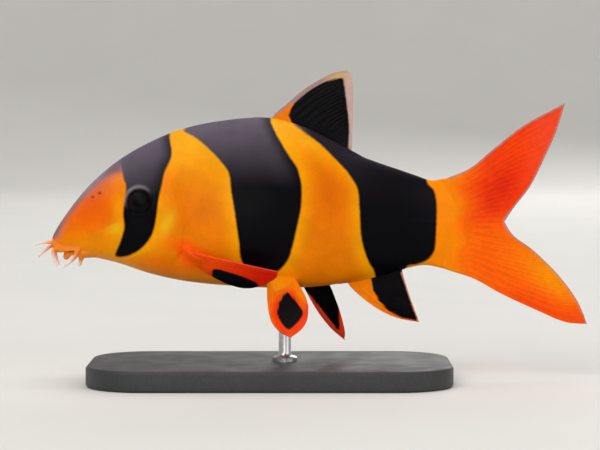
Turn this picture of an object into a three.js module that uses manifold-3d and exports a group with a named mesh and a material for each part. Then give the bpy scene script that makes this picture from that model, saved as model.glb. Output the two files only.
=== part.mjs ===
// A clown loach (Chromobotia macracanthus) as a still, life-size display model on a plain stand.
//
// Millimetres, +Z up. The snout points to -X and the fish's left side faces -Y.
// The origin is the centre of the underside of the stand's base.
// The fish is shaped straight, and every one of its nodes then takes the same gentle swing of the tail.

import * as THREE from "three";
import { mergeVertices } from "three/addons/utils/BufferGeometryUtils.js";
import Module from "manifold-3d";

const wasm = await Module();
wasm.setup();

// Overall sizes
const SNOUT_X = -52.9; // tip of the snout
const FLESH_LENGTH = 98.5; // snout tip to the end of the flesh, where the tail fin begins
const GAP = 0.3; // clearance that touching nodes keep
const SEAM = GAP / 2; // each side of a cut gives up this much
const REACH = 40; // longer than half the fish is wide, for cutters

// Swing of the body, seen from above
const SWING_FROM_X = 10;
const TAIL_SWING = 0.00112; // per millimetre squared, towards the right side
const HEAD_FROM_X = -15;
const HEAD_SWING = 0.0005;

// The body's outline, each as [distance behind the snout tip, size]
const BACK = [
  [0, 34.5], [0.5, 36.1], [1.5, 37.9], [3.2, 40.4], [6.1, 44.3], [10.4, 49], [16.5, 54], [23.8, 58.2],
  [32, 61.5], [42, 63.5], [50.9, 64], [60.1, 61.8], [72.3, 55.9], [84.4, 51.5], [92.2, 49.3], [98.5, 50.4],
];
const BELLY = [
  [0, 34.5], [0.5, 33.5], [1.5, 32.8], [3.2, 32.1], [6.1, 31.3], [10.4, 30.3], [16.5, 28.8], [23.8, 26.4],
  [32, 24.6], [42, 23.5], [52.9, 22.9], [61.4, 23], [68.6, 23.7], [75.9, 25.2], [84.4, 27.2], [90.5, 28.2],
  [98.5, 26.4],
];
const HALF_WIDTH = [
  [0, 0], [0.5, 1.5], [1.5, 2.4], [3.2, 3.2], [6.1, 4.1], [10.4, 5.2], [16.5, 6.6], [23.8, 8], [32, 9],
  [42, 9.6], [52.9, 9.3], [61.4, 8.4], [72.3, 6.7], [84.4, 4.5], [92.2, 2.9], [98.5, 1.4],
];
// Height of the widest place, as a share of the body's depth
const WAIST = [[0, 0.4], [6.1, 0.4], [16.5, 0.38], [32, 0.36], [52.9, 0.4], [72.3, 0.46], [98.5, 0.5]];
// How square the section is above and below its widest place: 2 is an ellipse
const UPPER_POWER = [[0, 2], [16.5, 1.9], [42, 1.8], [61.4, 1.8], [84.4, 2], [98.5, 2.8]];
const LOWER_POWER = [[0, 2.2], [16.5, 2.3], [32, 2.3], [61.4, 2.1], [84.4, 2], [98.5, 2.8]];

// How finely round shapes are divided
const BODY_RINGS = 46;
const BODY_SIDES = 32;
const SEAM_STEPS = 24;
const EYE_SIDES = 20;
const EYE_RINGS = 12;
const EYE_RIM_STEPS = 24;
const NOSTRIL_STEPS = 10;
const TUBE_SIDES = 8;
const BARBEL_ROWS = 10;
const LIP_ROWS = 14;
const ROD_SIDES = 20;
const CORNER_STEPS = 6;

// Where the flesh is divided, seen from the side as [x, z]
const GILL_SEAM = [
  [-22.3, 68.4], [-23, 60.9], [-24, 53.9], [-22.8, 46.6], [-20.4, 38.8], [-20.9, 32.5], [-24.3, 27.7],
  [-29.1, 23.8], [-34, 19.9],
];
const STALK_SEAM = [[21.3, 68.4], [20.6, 56.3], [19.2, 40.5], [17.5, 23.8], [17, 15.1]];
const TAIL_SEAM = [[43.6, 54], [44.9, 46.6], [45.6, 38.6], [44.9, 30.1], [43.6, 22]];

// The gill cover, a swelling that ends at the seam behind the head
const COVER_RISE = 0.55;
const COVER_FROM_X = -31;
const COVER_TO_X = -22;
const COVER_LOW_Z = 26;
const COVER_HIGH_Z = 52;
const COVER_FADE = 5;

// Eyes
const EYE_X = -31.3;
const EYE_Z = 44.2;
const EYE_RADIUS = 3.1;
const EYE_FLATNESS = 0.8;
const EYE_STANDS_OUT = 1;
const EYE_RIM = 0.5;

// Nostrils, as [x, z, radius of the hole] from the front one to the back one
const NOSTRILS = [[-42.6, 45, 0.42], [-40.9, 46, 0.5]];
const NOSTRIL_RIM = 0.34;
const NOSTRIL_DEPTH = 1.6;

// Mouth: two horseshoe lips that meet in the corners, and a chin behind them
const MOUTH_CORNER_X = -46.6;
const MOUTH_CORNER_Z = 32.2;
const UPPER_LIP = { reach: 5.3, halfWidth: 2.9, frontZ: 32.4, radius: 0.85 };
const LOWER_LIP = { reach: 2.9, halfWidth: 2.6, frontZ: 30.4, radius: 0.75 };
const MOUTH_OPENING = [[-51.6, 31.2], [-47.2, 32.6], [-49.8, 30.1], [-51.4, 29.4]];
const MOUTH_HALF_WIDTH = 2;
const LIP_CORNER = 0.75; // thickness of a lip in the corner of the mouth, as a share of its middle
const CHIN = { x: -44.6, z: 31.6, length: 4.2, halfWidth: 3, depth: 1.5 };

// Barbels, on the left side as [x, y, z] from inside the lip to the tip
const BARBEL_ROOT = 0.62;
const BARBEL_TIP = 0.27;
const BARBELS = {
  rostral_inner: [[-51, -0.6, 33.4], [-53.2, -1, 33.9], [-55, -1.9, 33.9], [-56.9, -3, 33.3]],
  rostral_outer: [[-51.2, -1.7, 33], [-52.4, -2.3, 31.9], [-52.2, -2.7, 30], [-51.6, -3, 28.2]],
  maxillary: [[-46.4, -2.8, 32.4], [-46.9, -3.9, 31.1], [-48.2, -4.6, 29.4], [-50, -5.1, 28]],
  mandibular: [[-45.6, -1.2, 31], [-46, -1.6, 29.4], [-46.2, -1.8, 28.7], [-46.2, -2, 28.1]],
};
// The right inner barbel droops as the left one reaches forward, as in life
const DROOPING_BARBEL = [[-51, 0.6, 33.4], [-53.4, 1.1, 32.8], [-55.2, 1.9, 31.5], [-56.8, 3, 30]];

// Fins. Thickness falls from the root to the edge, and the rays stand up as ridges.
const ROOT_SINK = 2; // how far a fin's root starts inside the flesh, before it is cut free
const MEMBRANE = 0.29; // half the thickness of the web
const EDGE_THINNING = 0.2; // the share of it that is gone at the outer edge
const RAY_RISE = 0.15; // how far a ray stands above the web
const RAY_FADE = 0.5; // the share of that which is gone at the outer edge
const STOUT_REACH = 0.5; // how far up the fin its stout root runs
const LEAD_STOUTNESS = 0.3; // the share of the stout root's thickness at the leading edge
const LEAD_REACH = 0.2; // how far back it takes to reach the full thickness
const DORSAL = {
  rays: 11,
  rows: 8,
  rootHalf: 1.1,
  from: -1.2,
  to: 19,
  lead: [[2.9, 67], [9.7, 72.3], [15.2, 75.3], [18.6, 75.8]],
  edge: [[18.6, 75.8], [19.5, 74.6], [19.7, 70.4], [19.7, 63.6], [19.5, 57]],
};
const ANAL = {
  rays: 8,
  rows: 7,
  rootHalf: 1.1,
  from: 17.6,
  to: 31.6,
  lead: [[20.2, 22.4], [25.4, 18.2], [30.6, 15.6], [36.4, 14.4]],
  edge: [[36.4, 14.4], [35, 18], [33.6, 22], [32.2, 26.4]],
};
const TAIL_ROOT_HALF = 1.15;
const TAIL_RAYS = 9;
const TAIL_ROWS = 9;
const FORK = [56.8, 38.8]; // the notch between the lobes
const TAIL_MIDDLE = [45.6, 38.6]; // where the middle rays leave the flesh
const UPPER_LOBE = {
  lead: [[43.6, 50], [48.8, 52.2], [54.8, 57.1], [61.9, 62.8], [71.1, 67.7]],
  edge: [[71.1, 67.7], [68.9, 60.9], [66.2, 54.9], [62.6, 47.6], [59, 42.6]],
};
const LOWER_LOBE = {
  lead: [[43.6, 26.8], [49.6, 24.9], [56.4, 21.2], [64.5, 17.4], [72, 14.2], [76.9, 13.8]],
  edge: [[76.9, 13.8], [74.4, 19.2], [69.9, 25.5], [63.8, 31.6], [59, 35.4]],
};

// Paired fins, in their own plane as [along the fin, across it from the leading edge]
const PECTORAL_OUTLINE = {
  rays: 11,
  rows: 7,
  rootHalf: 0.95,
  root: [[-2.4, -2.2], [-2.4, 2.2]],
  lead: [[-2.4, -2.2], [6, -2.6], [14, -2.5], [22, -1.9]],
  edge: [[22, -1.9], [21.2, 0.6], [17.6, 3.6], [13, 5.6], [8.4, 5.8]],
  trail: [[-2.4, 2.2], [2.6, 3.2], [8.4, 5.8]],
  camber: 0.004,
};
const PELVIC_OUTLINE = {
  rays: 7,
  rows: 7,
  rootHalf: 0.9,
  root: [[-2.2, -2.8], [-2.2, 2.8]],
  lead: [[-2.2, -2.8], [3, -3.7], [8, -4.1], [13, -3.8], [17, -2.1], [19.4, 0.1]],
  edge: [[19.4, 0.1], [17, 2.7], [13.4, 4.6], [9, 5.5]],
  trail: [[-2.2, 2.8], [1.6, 4.1], [5.4, 5.2], [9, 5.5]],
  camber: 0.004,
};
// The far pelvic fin is partly closed
const CLOSED_PELVIC_OUTLINE = {
  ...PELVIC_OUTLINE,
  root: [[-2.2, -1.7], [-2.2, 3.5]],
  lead: [[-2.2, -1.7], [4, -1.7], [10, -1.4], [15, -1], [18.6, 0]],
  edge: [[18.6, 0], [16.8, 1.5], [13.2, 2.7], [9, 3.7]],
  trail: [[-2.2, 3.5], [1.4, 4.3], [5, 4.4], [9, 3.7]],
};
// How each paired fin leaves the body. Along and across point down the fin and across its web.
const PECTORALS = {
  left: { x: -18.7, z: 30.4, side: -1, along: [0.91, -0.34, -0.24], across: [0.2, 0.6, -0.78] },
  right: { x: -18.7, z: 30.4, side: 1, along: [0.88, 0.42, -0.26], across: [0.26, -0.58, -0.78] },
};
const PELVICS = {
  left: { x: 2.6, z: 25, side: -1, along: [0.14, -0.66, -0.74], across: [0.99, 0.08, 0.1] },
  right: { x: 8.8, z: 25.4, side: 1, along: [0.47, 0.24, -0.84], across: [0.8, -0.4, 0.4] },
};

// Stand
const BASE = { length: 88, width: 46, height: 5, corner: 14, bevel: 0.8 };
const ROD = { x: 3.6, radius: 1.5, collarRadius: 3, collarHeight: 1.2 };

// Looks, kept plain here
const COLOURS = {
  skin: 0xe07e08,
  dark: 0x15121a,
  red: 0xe8420c,
  eye: 0x0a0a0c,
  barbel: 0xd9a184,
  base: 0x2a2a2c,
  steel: 0xb4b7ba,
};

function material(colour, roughness, metalness = 0) {
  return new THREE.MeshStandardMaterial({ color: colour, roughness, metalness });
}

const MATERIALS = {
  skin: material(COLOURS.skin, 0.35),
  dark: material(COLOURS.dark, 0.35),
  red: material(COLOURS.red, 0.4),
  eye: material(COLOURS.eye, 0.08),
  barbel: material(COLOURS.barbel, 0.45),
  base: material(COLOURS.base, 0.5),
  steel: material(COLOURS.steel, 0.3, 1),
};

// Smooth steps, blends and splines

const clamp = (value, low, high) => Math.min(Math.max(value, low), high);
const lerp = (a, b, t) => a + (b - a) * t;

function fade(from, to, value) {
  const t = clamp((value - from) / (to - from), 0, 1);
  return t * t * (3 - 2 * t);
}

// A smooth function through [distance, size] knots. It works on the distance's square root, so that a blunt
// snout, whose size grows as the root of the distance, comes out round.
function alongBody(knots) {
  const at = knots.map(([d]) => Math.sqrt(d));
  const size = knots.map(([, s]) => s);
  const last = knots.length - 1;
  const slope = knots.map((_, i) => {
    const a = Math.max(i - 1, 0);
    const b = Math.min(i + 1, last);
    return (size[b] - size[a]) / (at[b] - at[a]);
  });
  return (distance) => {
    const x = Math.sqrt(clamp(distance, 0, FLESH_LENGTH));
    let i = 0;
    while (i < last - 1 && x > at[i + 1]) i += 1;
    const width = at[i + 1] - at[i];
    const t = clamp((x - at[i]) / width, 0, 1);
    const rise = size[i + 1] - size[i];
    const bend = t * (1 - t) * ((1 - t) * (slope[i] * width - rise) - t * (slope[i + 1] * width - rise));
    return size[i] + rise * t + bend;
  };
}

const back = alongBody(BACK);
const belly = alongBody(BELLY);
const halfWidth = alongBody(HALF_WIDTH);
const waist = alongBody(WAIST);
const upperPower = alongBody(UPPER_POWER);
const lowerPower = alongBody(LOWER_POWER);

// An open curve through [a, b] points, read at even steps of its length
function edgeCurve(points) {
  const curve = new THREE.SplineCurve(points.map(([a, b]) => new THREE.Vector2(a, b)));
  return (t) => curve.getPointAt(clamp(t, 0, 1));
}

// Half the body's width at a place on its side
function sideAt(x, z) {
  const d = x - SNOUT_X;
  const top = back(d);
  const bottom = belly(d);
  const middle = lerp(bottom, top, waist(d));
  const above = z > middle;
  const reach = above ? (z - middle) / (top - middle) : (middle - z) / (middle - bottom);
  const power = above ? upperPower(d) : lowerPower(d);
  return halfWidth(d) * (1 - Math.min(reach, 1) ** power) ** (1 / power);
}

// The way out of the body at a place on its left side (-1) or right side (1)
function outwardAt(x, z, side) {
  const step = 0.5;
  const alongX = (sideAt(x + step, z) - sideAt(x - step, z)) / (2 * step);
  const alongZ = (sideAt(x, z + step) - sideAt(x, z - step)) / (2 * step);
  return new THREE.Vector3(-alongX, side, -alongZ).normalize();
}

function swing(x) {
  const tail = Math.max(x - SWING_FROM_X, 0);
  const head = Math.max(HEAD_FROM_X - x, 0);
  return TAIL_SWING * tail * tail + HEAD_SWING * head * head;
}

function coverRise(x, z) {
  const along = fade(COVER_FROM_X, COVER_TO_X, x);
  const above = fade(COVER_LOW_Z, COVER_LOW_Z + COVER_FADE, z);
  const below = 1 - fade(COVER_HIGH_Z - COVER_FADE, COVER_HIGH_Z, z);
  return COVER_RISE * along * above * below;
}

// Solids

// A closed body from its vertices and triangles, turned right side out
function closed(vertProperties, triVerts) {
  const made = new wasm.Manifold(new wasm.Mesh({ numProp: 3, vertProperties, triVerts }));
  if (made.volume() > 0) return made;
  for (let k = 0; k < triVerts.length; k += 3)
    [triVerts[k + 1], triVerts[k + 2]] = [triVerts[k + 2], triVerts[k + 1]];
  return new wasm.Manifold(new wasm.Mesh({ numProp: 3, vertProperties, triVerts }));
}

function solid(geometry) {
  const bare = geometry.index ? geometry.toNonIndexed() : geometry.clone();
  bare.deleteAttribute("normal");
  bare.deleteAttribute("uv");
  const merged = mergeVertices(bare, 1e-4);
  return closed(new Float32Array(merged.attributes.position.array), new Uint32Array(merged.index.array));
}

function largest(manifold) {
  return manifold.decompose().reduce((a, b) => (a.volume() >= b.volume() ? a : b));
}

function geometryOf(manifold, bend) {
  const { numProp, numVert, vertProperties, triVerts } = manifold.getMesh();
  const position = new Float32Array(numVert * 3);
  for (let i = 0; i < numVert; i += 1) {
    const [x, y, z] = vertProperties.subarray(i * numProp, i * numProp + 3);
    position.set([x, bend ? y + swing(x) : y, z], i * 3);
  }
  const geometry = new THREE.BufferGeometry();
  geometry.setAttribute("position", new THREE.BufferAttribute(position, 3));
  geometry.setIndex(new THREE.BufferAttribute(triVerts, 1));
  geometry.computeVertexNormals();
  return geometry;
}

// Moves every vertex of a three.js shape by its place in the shape's own uv square
function shapedBy(geometry, place) {
  const { position, uv } = geometry.attributes;
  for (let i = 0; i < position.count; i += 1) {
    const p = place(uv.getX(i), uv.getY(i), new THREE.Vector3().fromBufferAttribute(position, i));
    position.setXYZ(i, p.x, p.y, p.z);
  }
  return geometry;
}

// The whole body, all over thicker by grow. A sphere's poles become the snout and the tail end.
function bodySolid(grow, withCovers) {
  const blank = new THREE.SphereGeometry(1, BODY_SIDES, BODY_RINGS);
  return solid(
    shapedBy(blank, (u, v) => {
      const row = Math.round((1 - v) * BODY_RINGS);
      const ring = Math.min(row / (BODY_RINGS - 1), 1);
      const d = FLESH_LENGTH * ring * ring;
      const closing = row === 0 || row === BODY_RINGS ? 0 : 1;
      const angle = 2 * Math.PI * (u % 1);
      const c = Math.cos(angle);
      const s = Math.sin(angle);
      const power = s > 0 ? upperPower(d) : lowerPower(d);
      const spread = Math.sign(c) * Math.abs(c) ** (2 / power);
      const lift = Math.sign(s) * Math.abs(s) ** (2 / power);
      const top = back(d) + grow;
      const bottom = belly(d) - grow;
      const middle = lerp(bottom, top, waist(d));
      const z = middle + lift * closing * (s > 0 ? top - middle : middle - bottom);
      const x = SNOUT_X + d + grow * (2 * ring - 1);
      const cover = withCovers ? coverRise(x, z) * Math.min(1, 2 * Math.abs(spread)) : 0;
      const y = spread * closing * (halfWidth(d) + grow + cover);
      return new THREE.Vector3(x, y, z);
    }),
  );
}

// A seam carried on straight up and down, well clear of the fish
function tall(line) {
  const first = line[0];
  const last = line[line.length - 1];
  return [new THREE.Vector2(first.x, first.y + REACH), ...line, new THREE.Vector2(last.x, last.y - REACH)];
}

// Everything between two seams seen from the side, right through the fish
function between(left, right) {
  const outline = new THREE.Shape([...tall(left), ...tall(right).reverse()]);
  const block = new THREE.ExtrudeGeometry(outline, { depth: 2 * REACH, bevelEnabled: false });
  return solid(block.rotateX(Math.PI / 2).translate(0, REACH, 0));
}

function seamLine(points, shift) {
  const curve = new THREE.SplineCurve(points.map(([x, z]) => new THREE.Vector2(x + shift, z)));
  return curve.getPoints(SEAM_STEPS);
}

function farLine(x) {
  return [new THREE.Vector2(x, 2 * REACH), new THREE.Vector2(x, 0)];
}

// A round tube along a curve, with a radius that follows its length, closed at both ends
function tube(points, radiusAt, rows) {
  const curve = new THREE.CatmullRomCurve3(points.map((p) => new THREE.Vector3(...p)));
  const frames = curve.computeFrenetFrames(rows, false);
  const rod = new THREE.CylinderGeometry(1, 1, 1, TUBE_SIDES, rows);
  const { position } = rod.attributes;
  for (let i = 0; i < position.count; i += 1) {
    const row = Math.round((0.5 - position.getY(i)) * rows);
    const out = Math.hypot(position.getX(i), position.getZ(i)) * radiusAt(row / rows);
    const angle = Math.atan2(position.getZ(i), position.getX(i));
    const p = curve
      .getPointAt(row / rows)
      .addScaledVector(frames.normals[row], out * Math.cos(angle))
      .addScaledVector(frames.binormals[row], out * Math.sin(angle));
    position.setXYZ(i, p.x, p.y, p.z);
  }
  return solid(rod);
}

// Head

function lip({ reach, halfWidth: wide, frontZ, radius }, grow) {
  const points = Array.from({ length: LIP_ROWS }, (_, i) => {
    const angle = (Math.PI * i) / (LIP_ROWS - 1);
    const forward = Math.sin(angle);
    return [
      MOUTH_CORNER_X - reach * forward,
      wide * Math.cos(angle),
      lerp(MOUTH_CORNER_Z, frontZ, forward * forward),
    ];
  });
  const plump = (t) => radius * lerp(LIP_CORNER, 1, Math.sin(Math.PI * t)) + grow;
  return tube(points, plump, LIP_ROWS);
}

function chin(grow) {
  const { x, z, length, halfWidth: wide, depth } = CHIN;
  const lump = new THREE.SphereGeometry(1, EYE_SIDES, EYE_RINGS);
  return solid(lump.scale(length + grow, wide + grow, depth + grow).translate(x, 0, z));
}

function mouthOpening() {
  const outline = new THREE.Shape(MOUTH_OPENING.map(([x, z]) => new THREE.Vector2(x, z)));
  const wedge = new THREE.ExtrudeGeometry(outline, { depth: 2 * MOUTH_HALF_WIDTH, bevelEnabled: false });
  return solid(wedge.rotateX(Math.PI / 2).translate(0, MOUTH_HALF_WIDTH, 0));
}

// A shape made round the Z axis, set on the side of the head with that axis pointing straight out of the skin
function turnedTo(geometry, x, z, side, depth) {
  const outward = outwardAt(x, z, side);
  const turn = new THREE.Quaternion().setFromUnitVectors(new THREE.Vector3(0, 0, 1), outward);
  const centre = new THREE.Vector3(x, side * sideAt(x, z), z).addScaledVector(outward, -depth);
  return solid(geometry.applyQuaternion(turn).translate(centre.x, centre.y, centre.z));
}

function eyeball(side, grow) {
  const shape = new THREE.SphereGeometry(EYE_RADIUS + grow, EYE_SIDES, EYE_RINGS);
  shape.scale(1, 1, EYE_FLATNESS);
  return turnedTo(shape, EYE_X, EYE_Z, side, EYE_RADIUS * EYE_FLATNESS - EYE_STANDS_OUT);
}

function headSolid(grow) {
  const front = between(farLine(-2 * REACH), seamLine(GILL_SEAM, -SEAM));
  let head = bodySolid(grow, true).intersect(front);
  head = head.add(chin(grow));
  if (grow === 0) head = head.subtract(mouthOpening());
  head = head.add(lip(UPPER_LIP, grow)).add(lip(LOWER_LIP, grow));
  if (grow > 0) return head;
  for (const side of [-1, 1]) {
    const rim = new THREE.TorusGeometry(EYE_RADIUS + GAP + EYE_RIM / 2, EYE_RIM, 6, EYE_RIM_STEPS);
    head = head.add(turnedTo(rim, EYE_X, EYE_Z, side, EYE_RIM / 2));
    head = head.subtract(eyeball(side, GAP));
    for (const [x, z, radius] of NOSTRILS) {
      const collar = new THREE.TorusGeometry(radius + NOSTRIL_RIM / 2, NOSTRIL_RIM, 5, NOSTRIL_STEPS);
      head = head.add(turnedTo(collar, x, z, side, 0));
      const hole = new THREE.CylinderGeometry(radius, radius / 2, NOSTRIL_DEPTH, NOSTRIL_STEPS);
      head = head.subtract(turnedTo(hole.rotateX(Math.PI / 2), x, z, side, NOSTRIL_DEPTH / 2 - NOSTRIL_RIM));
    }
  }
  return largest(head);
}

function barbelSolid(points, headAndMargin) {
  const taper = (t) => lerp(BARBEL_ROOT, BARBEL_TIP, t);
  return largest(tube(points, taper, BARBEL_ROWS).subtract(headAndMargin));
}

// Fins

// A web of two like faces and a rim, from a middle surface and half its thickness
function sheet(columns, rows, surface, half) {
  const grid = [];
  const step = 1e-3;
  for (let j = 0; j <= rows; j += 1) {
    for (let i = 0; i <= columns; i += 1) {
      const u = i / columns;
      const v = j / rows;
      const across = surface(Math.min(u + step, 1), v).sub(surface(Math.max(u - step, 0), v));
      const along = surface(u, Math.min(v + step, 1)).sub(surface(u, Math.max(v - step, 0)));
      const normal = across.cross(along).normalize();
      grid.push({ middle: surface(u, v), normal, half: half(u, v) });
    }
  }
  const position = [];
  for (const face of [1, -1])
    for (const { middle, normal, half: thick } of grid)
      position.push(...middle.clone().addScaledVector(normal, face * thick).toArray());
  const index = [];
  const at = (i, j) => j * (columns + 1) + i;
  const other = grid.length;
  for (let j = 0; j < rows; j += 1) {
    for (let i = 0; i < columns; i += 1) {
      const [a, b, c, d] = [at(i, j), at(i + 1, j), at(i + 1, j + 1), at(i, j + 1)];
      index.push(a, b, c, a, c, d);
      index.push(a + other, c + other, b + other, a + other, d + other, c + other);
    }
  }
  const rim = [];
  for (let i = 0; i < columns; i += 1) rim.push([at(i, 0), at(i + 1, 0)], [at(i + 1, rows), at(i, rows)]);
  for (let j = 0; j < rows; j += 1) rim.push([at(columns, j), at(columns, j + 1)], [at(0, j + 1), at(0, j)]);
  for (const [a, b] of rim) index.push(a, a + other, b + other, a, b + other, b);
  return closed(new Float32Array(position), new Uint32Array(index));
}

// Fills the space between a fin's four edges: u runs from the leading edge to the last ray, v from root to edge
function patch(root, lead, edge, trail) {
  return (u, v) => {
    const corners = [root(0), root(1), edge(0), edge(1)];
    const weights = [-(1 - u) * (1 - v), -u * (1 - v), -(1 - u) * v, -u * v];
    const point = root(u).multiplyScalar(1 - v);
    point.addScaledVector(edge(u), v).addScaledVector(lead(v), 1 - u).addScaledVector(trail(v), u);
    corners.forEach((corner, i) => point.addScaledVector(corner, weights[i]));
    return point;
  };
}

// Half the thickness of a fin: stout at the root, then a web with one ridge for each ray
function webHalf(rays, rootHalf) {
  return (u, v) => {
    const ridge = Math.abs(Math.cos(Math.PI * u * rays));
    const lead = lerp(LEAD_STOUTNESS, 1, fade(0, LEAD_REACH, u));
    const stout = (rootHalf - MEMBRANE) * (1 - fade(0, STOUT_REACH, v)) * lead;
    return (MEMBRANE + stout) * (1 - EDGE_THINNING * v) + RAY_RISE * ridge * (1 - RAY_FADE * v);
  };
}

function finSheet({ rays, rows, rootHalf, surface }) {
  return sheet(2 * rays, rows, surface, webHalf(rays, rootHalf));
}

// A fin on the fish's midline, whose root follows the back or the belly
function midlineFin(fin, line, sink) {
  const rootPoint = (t) => {
    const x = lerp(fin.from, fin.to, t);
    return new THREE.Vector2(x, line(x - SNOUT_X) + sink);
  };
  const lead = edgeCurve([rootPoint(0).toArray(), ...fin.lead]);
  const edge = edgeCurve(fin.edge);
  const trail = (t) => rootPoint(1).lerp(edge(1), t);
  const flat = patch(rootPoint, lead, edge, trail);
  return finSheet({
    ...fin,
    surface: (u, v) => {
      const p = flat(u, v);
      return new THREE.Vector3(p.x, 0, p.y);
    },
  });
}

// One lobe of the tail fin, above (1) or below (-1) the gap between the two. Its root bows out to the middle ray.
function tailLobe(lobe, side) {
  const [startX, startZ] = lobe.lead[0];
  const [middleX, middleZ] = TAIL_MIDDLE;
  const rootPoint = (t) => {
    const x = lerp(middleX, startX, (1 - t) ** 2) - ROOT_SINK;
    return new THREE.Vector2(x, lerp(startZ, middleZ + side * SEAM, t));
  };
  const fork = new THREE.Vector2(FORK[0], FORK[1] + side * SEAM);
  const outer = edgeCurve([...lobe.edge, fork.toArray()]);
  const lead = edgeCurve([rootPoint(0).toArray(), ...lobe.lead]);
  const trail = (t) => rootPoint(1).lerp(fork, t);
  const flat = patch(rootPoint, lead, outer, trail);
  return finSheet({
    rays: TAIL_RAYS,
    rows: TAIL_ROWS,
    rootHalf: TAIL_ROOT_HALF,
    surface: (u, v) => {
      const p = flat(u, v);
      return new THREE.Vector3(p.x, 0, p.y);
    },
  });
}

// A fin on the fish's side. It is drawn flat, then turned to run along and across the way that it is held.
function pairedFin(outline, { x, z, side, along, across }) {
  const length = new THREE.Vector3(...along).normalize();
  const chord = new THREE.Vector3(...across);
  chord.addScaledVector(length, -chord.dot(length)).normalize();
  const lift = length.clone().cross(chord);
  const root = new THREE.Vector3(x, side * sideAt(x, z), z);
  const flat = patch(
    edgeCurve(outline.root),
    edgeCurve(outline.lead),
    edgeCurve(outline.edge),
    edgeCurve(outline.trail),
  );
  const surface = (u, v) => {
    const p = flat(u, v);
    const bow = -side * outline.camber * p.x * p.x;
    return root.clone().addScaledVector(length, p.x).addScaledVector(chord, p.y).addScaledVector(lift, bow);
  };
  return finSheet({ ...outline, surface });
}

// Stand

function standBase() {
  const { length, width, height, corner, bevel } = BASE;
  const [halfLength, halfWide] = [length / 2 - bevel, width / 2 - bevel];
  const outline = new THREE.Shape();
  outline.moveTo(-halfLength + corner, -halfWide);
  outline.lineTo(halfLength - corner, -halfWide);
  outline.absarc(halfLength - corner, -halfWide + corner, corner, -Math.PI / 2, 0);
  outline.lineTo(halfLength, halfWide - corner);
  outline.absarc(halfLength - corner, halfWide - corner, corner, 0, Math.PI / 2);
  outline.lineTo(-halfLength + corner, halfWide);
  outline.absarc(-halfLength + corner, halfWide - corner, corner, Math.PI / 2, Math.PI);
  outline.lineTo(-halfLength, -halfWide + corner);
  outline.absarc(-halfLength + corner, -halfWide + corner, corner, Math.PI, 1.5 * Math.PI);
  const plate = new THREE.ExtrudeGeometry(outline, {
    depth: height - 2 * bevel,
    bevelThickness: bevel,
    bevelSize: bevel,
    bevelSegments: 2,
    curveSegments: CORNER_STEPS,
  });
  return solid(plate.translate(0, 0, bevel));
}

function standRod(fleshAndMargin) {
  const { x, radius, collarRadius, collarHeight } = ROD;
  const foot = BASE.height + GAP;
  const head = belly(x - SNOUT_X) + ROOT_SINK;
  const profile = [
    [0, foot],
    [collarRadius, foot],
    [collarRadius, foot + collarHeight],
    [radius, foot + 1.5 * collarHeight],
    [radius, head],
    [0, head],
  ];
  const turned = new THREE.LatheGeometry(profile.map(([r, z]) => new THREE.Vector2(r, z)), ROD_SIDES);
  return largest(solid(turned.rotateX(Math.PI / 2).translate(x, 0, 0)).subtract(fleshAndMargin));
}

// The model

const model = new THREE.Group();

// Adds a piece as a node of its own, and gives it the swing of the body unless it belongs to the stand
function addNode(name, manifold, look, bend = true) {
  const mesh = new THREE.Mesh(geometryOf(manifold, bend), look);
  mesh.name = name;
  model.add(mesh);
}

const plainBody = bodySolid(0, false);
const fleshAndMargin = bodySolid(GAP, false).add(headSolid(GAP));
const head = headSolid(0);

addNode("head", head, MATERIALS.skin);
addNode(
  "trunk",
  largest(plainBody.intersect(between(seamLine(GILL_SEAM, SEAM), seamLine(STALK_SEAM, -SEAM)))),
  MATERIALS.skin,
);
addNode(
  "tail_stalk",
  largest(plainBody.intersect(between(seamLine(STALK_SEAM, SEAM), seamLine(TAIL_SEAM, -SEAM)))),
  MATERIALS.dark,
);

for (const [name, side] of [["left", -1], ["right", 1]]) {
  addNode(`eye_${name}`, eyeball(side, 0), MATERIALS.eye);
  for (const [kind, points] of Object.entries(BARBELS)) {
    const mirrored = points.map(([x, y, z]) => [x, -side * y, z]);
    const drooping = kind === "rostral_inner" && side === 1;
    const path = drooping ? DROOPING_BARBEL : mirrored;
    addNode(`barbel_${kind}_${name}`, barbelSolid(path, fleshAndMargin), MATERIALS.barbel);
  }
  const pectoral = pairedFin(PECTORAL_OUTLINE, PECTORALS[name]);
  addNode(`fin_pectoral_${name}`, largest(pectoral.subtract(fleshAndMargin)), MATERIALS.red);
  const pelvicOutline = name === "left" ? PELVIC_OUTLINE : CLOSED_PELVIC_OUTLINE;
  const pelvic = pairedFin(pelvicOutline, PELVICS[name]);
  addNode(`fin_pelvic_${name}`, largest(pelvic.subtract(fleshAndMargin)), MATERIALS.red);
}

const dorsal = midlineFin(DORSAL, back, -ROOT_SINK);
addNode("fin_dorsal", largest(dorsal.subtract(fleshAndMargin)), MATERIALS.dark);
const anal = midlineFin(ANAL, belly, ROOT_SINK);
addNode("fin_anal", largest(anal.subtract(fleshAndMargin)), MATERIALS.dark);

const behindStalk = between(seamLine(TAIL_SEAM, SEAM), farLine(3 * REACH));
addNode("fin_tail_upper", largest(tailLobe(UPPER_LOBE, 1).intersect(behindStalk)), MATERIALS.red);
addNode("fin_tail_lower", largest(tailLobe(LOWER_LOBE, -1).intersect(behindStalk)), MATERIALS.red);

addNode("stand_base", standBase(), MATERIALS.base, false);
addNode("stand_rod", standRod(fleshAndMargin), MATERIALS.steel, false);

export default model;
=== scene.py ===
"""The looks of a life-size clown loach on its display stand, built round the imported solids.

Sizes are in millimetres until a mesh is finished, and metres from there on.
The head points along -X, the left side faces -Y, and the stand's foot is at Z 0.
"""

import math

import bmesh
import bpy
import numpy as np
from mathutils import Matrix, Vector


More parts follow.
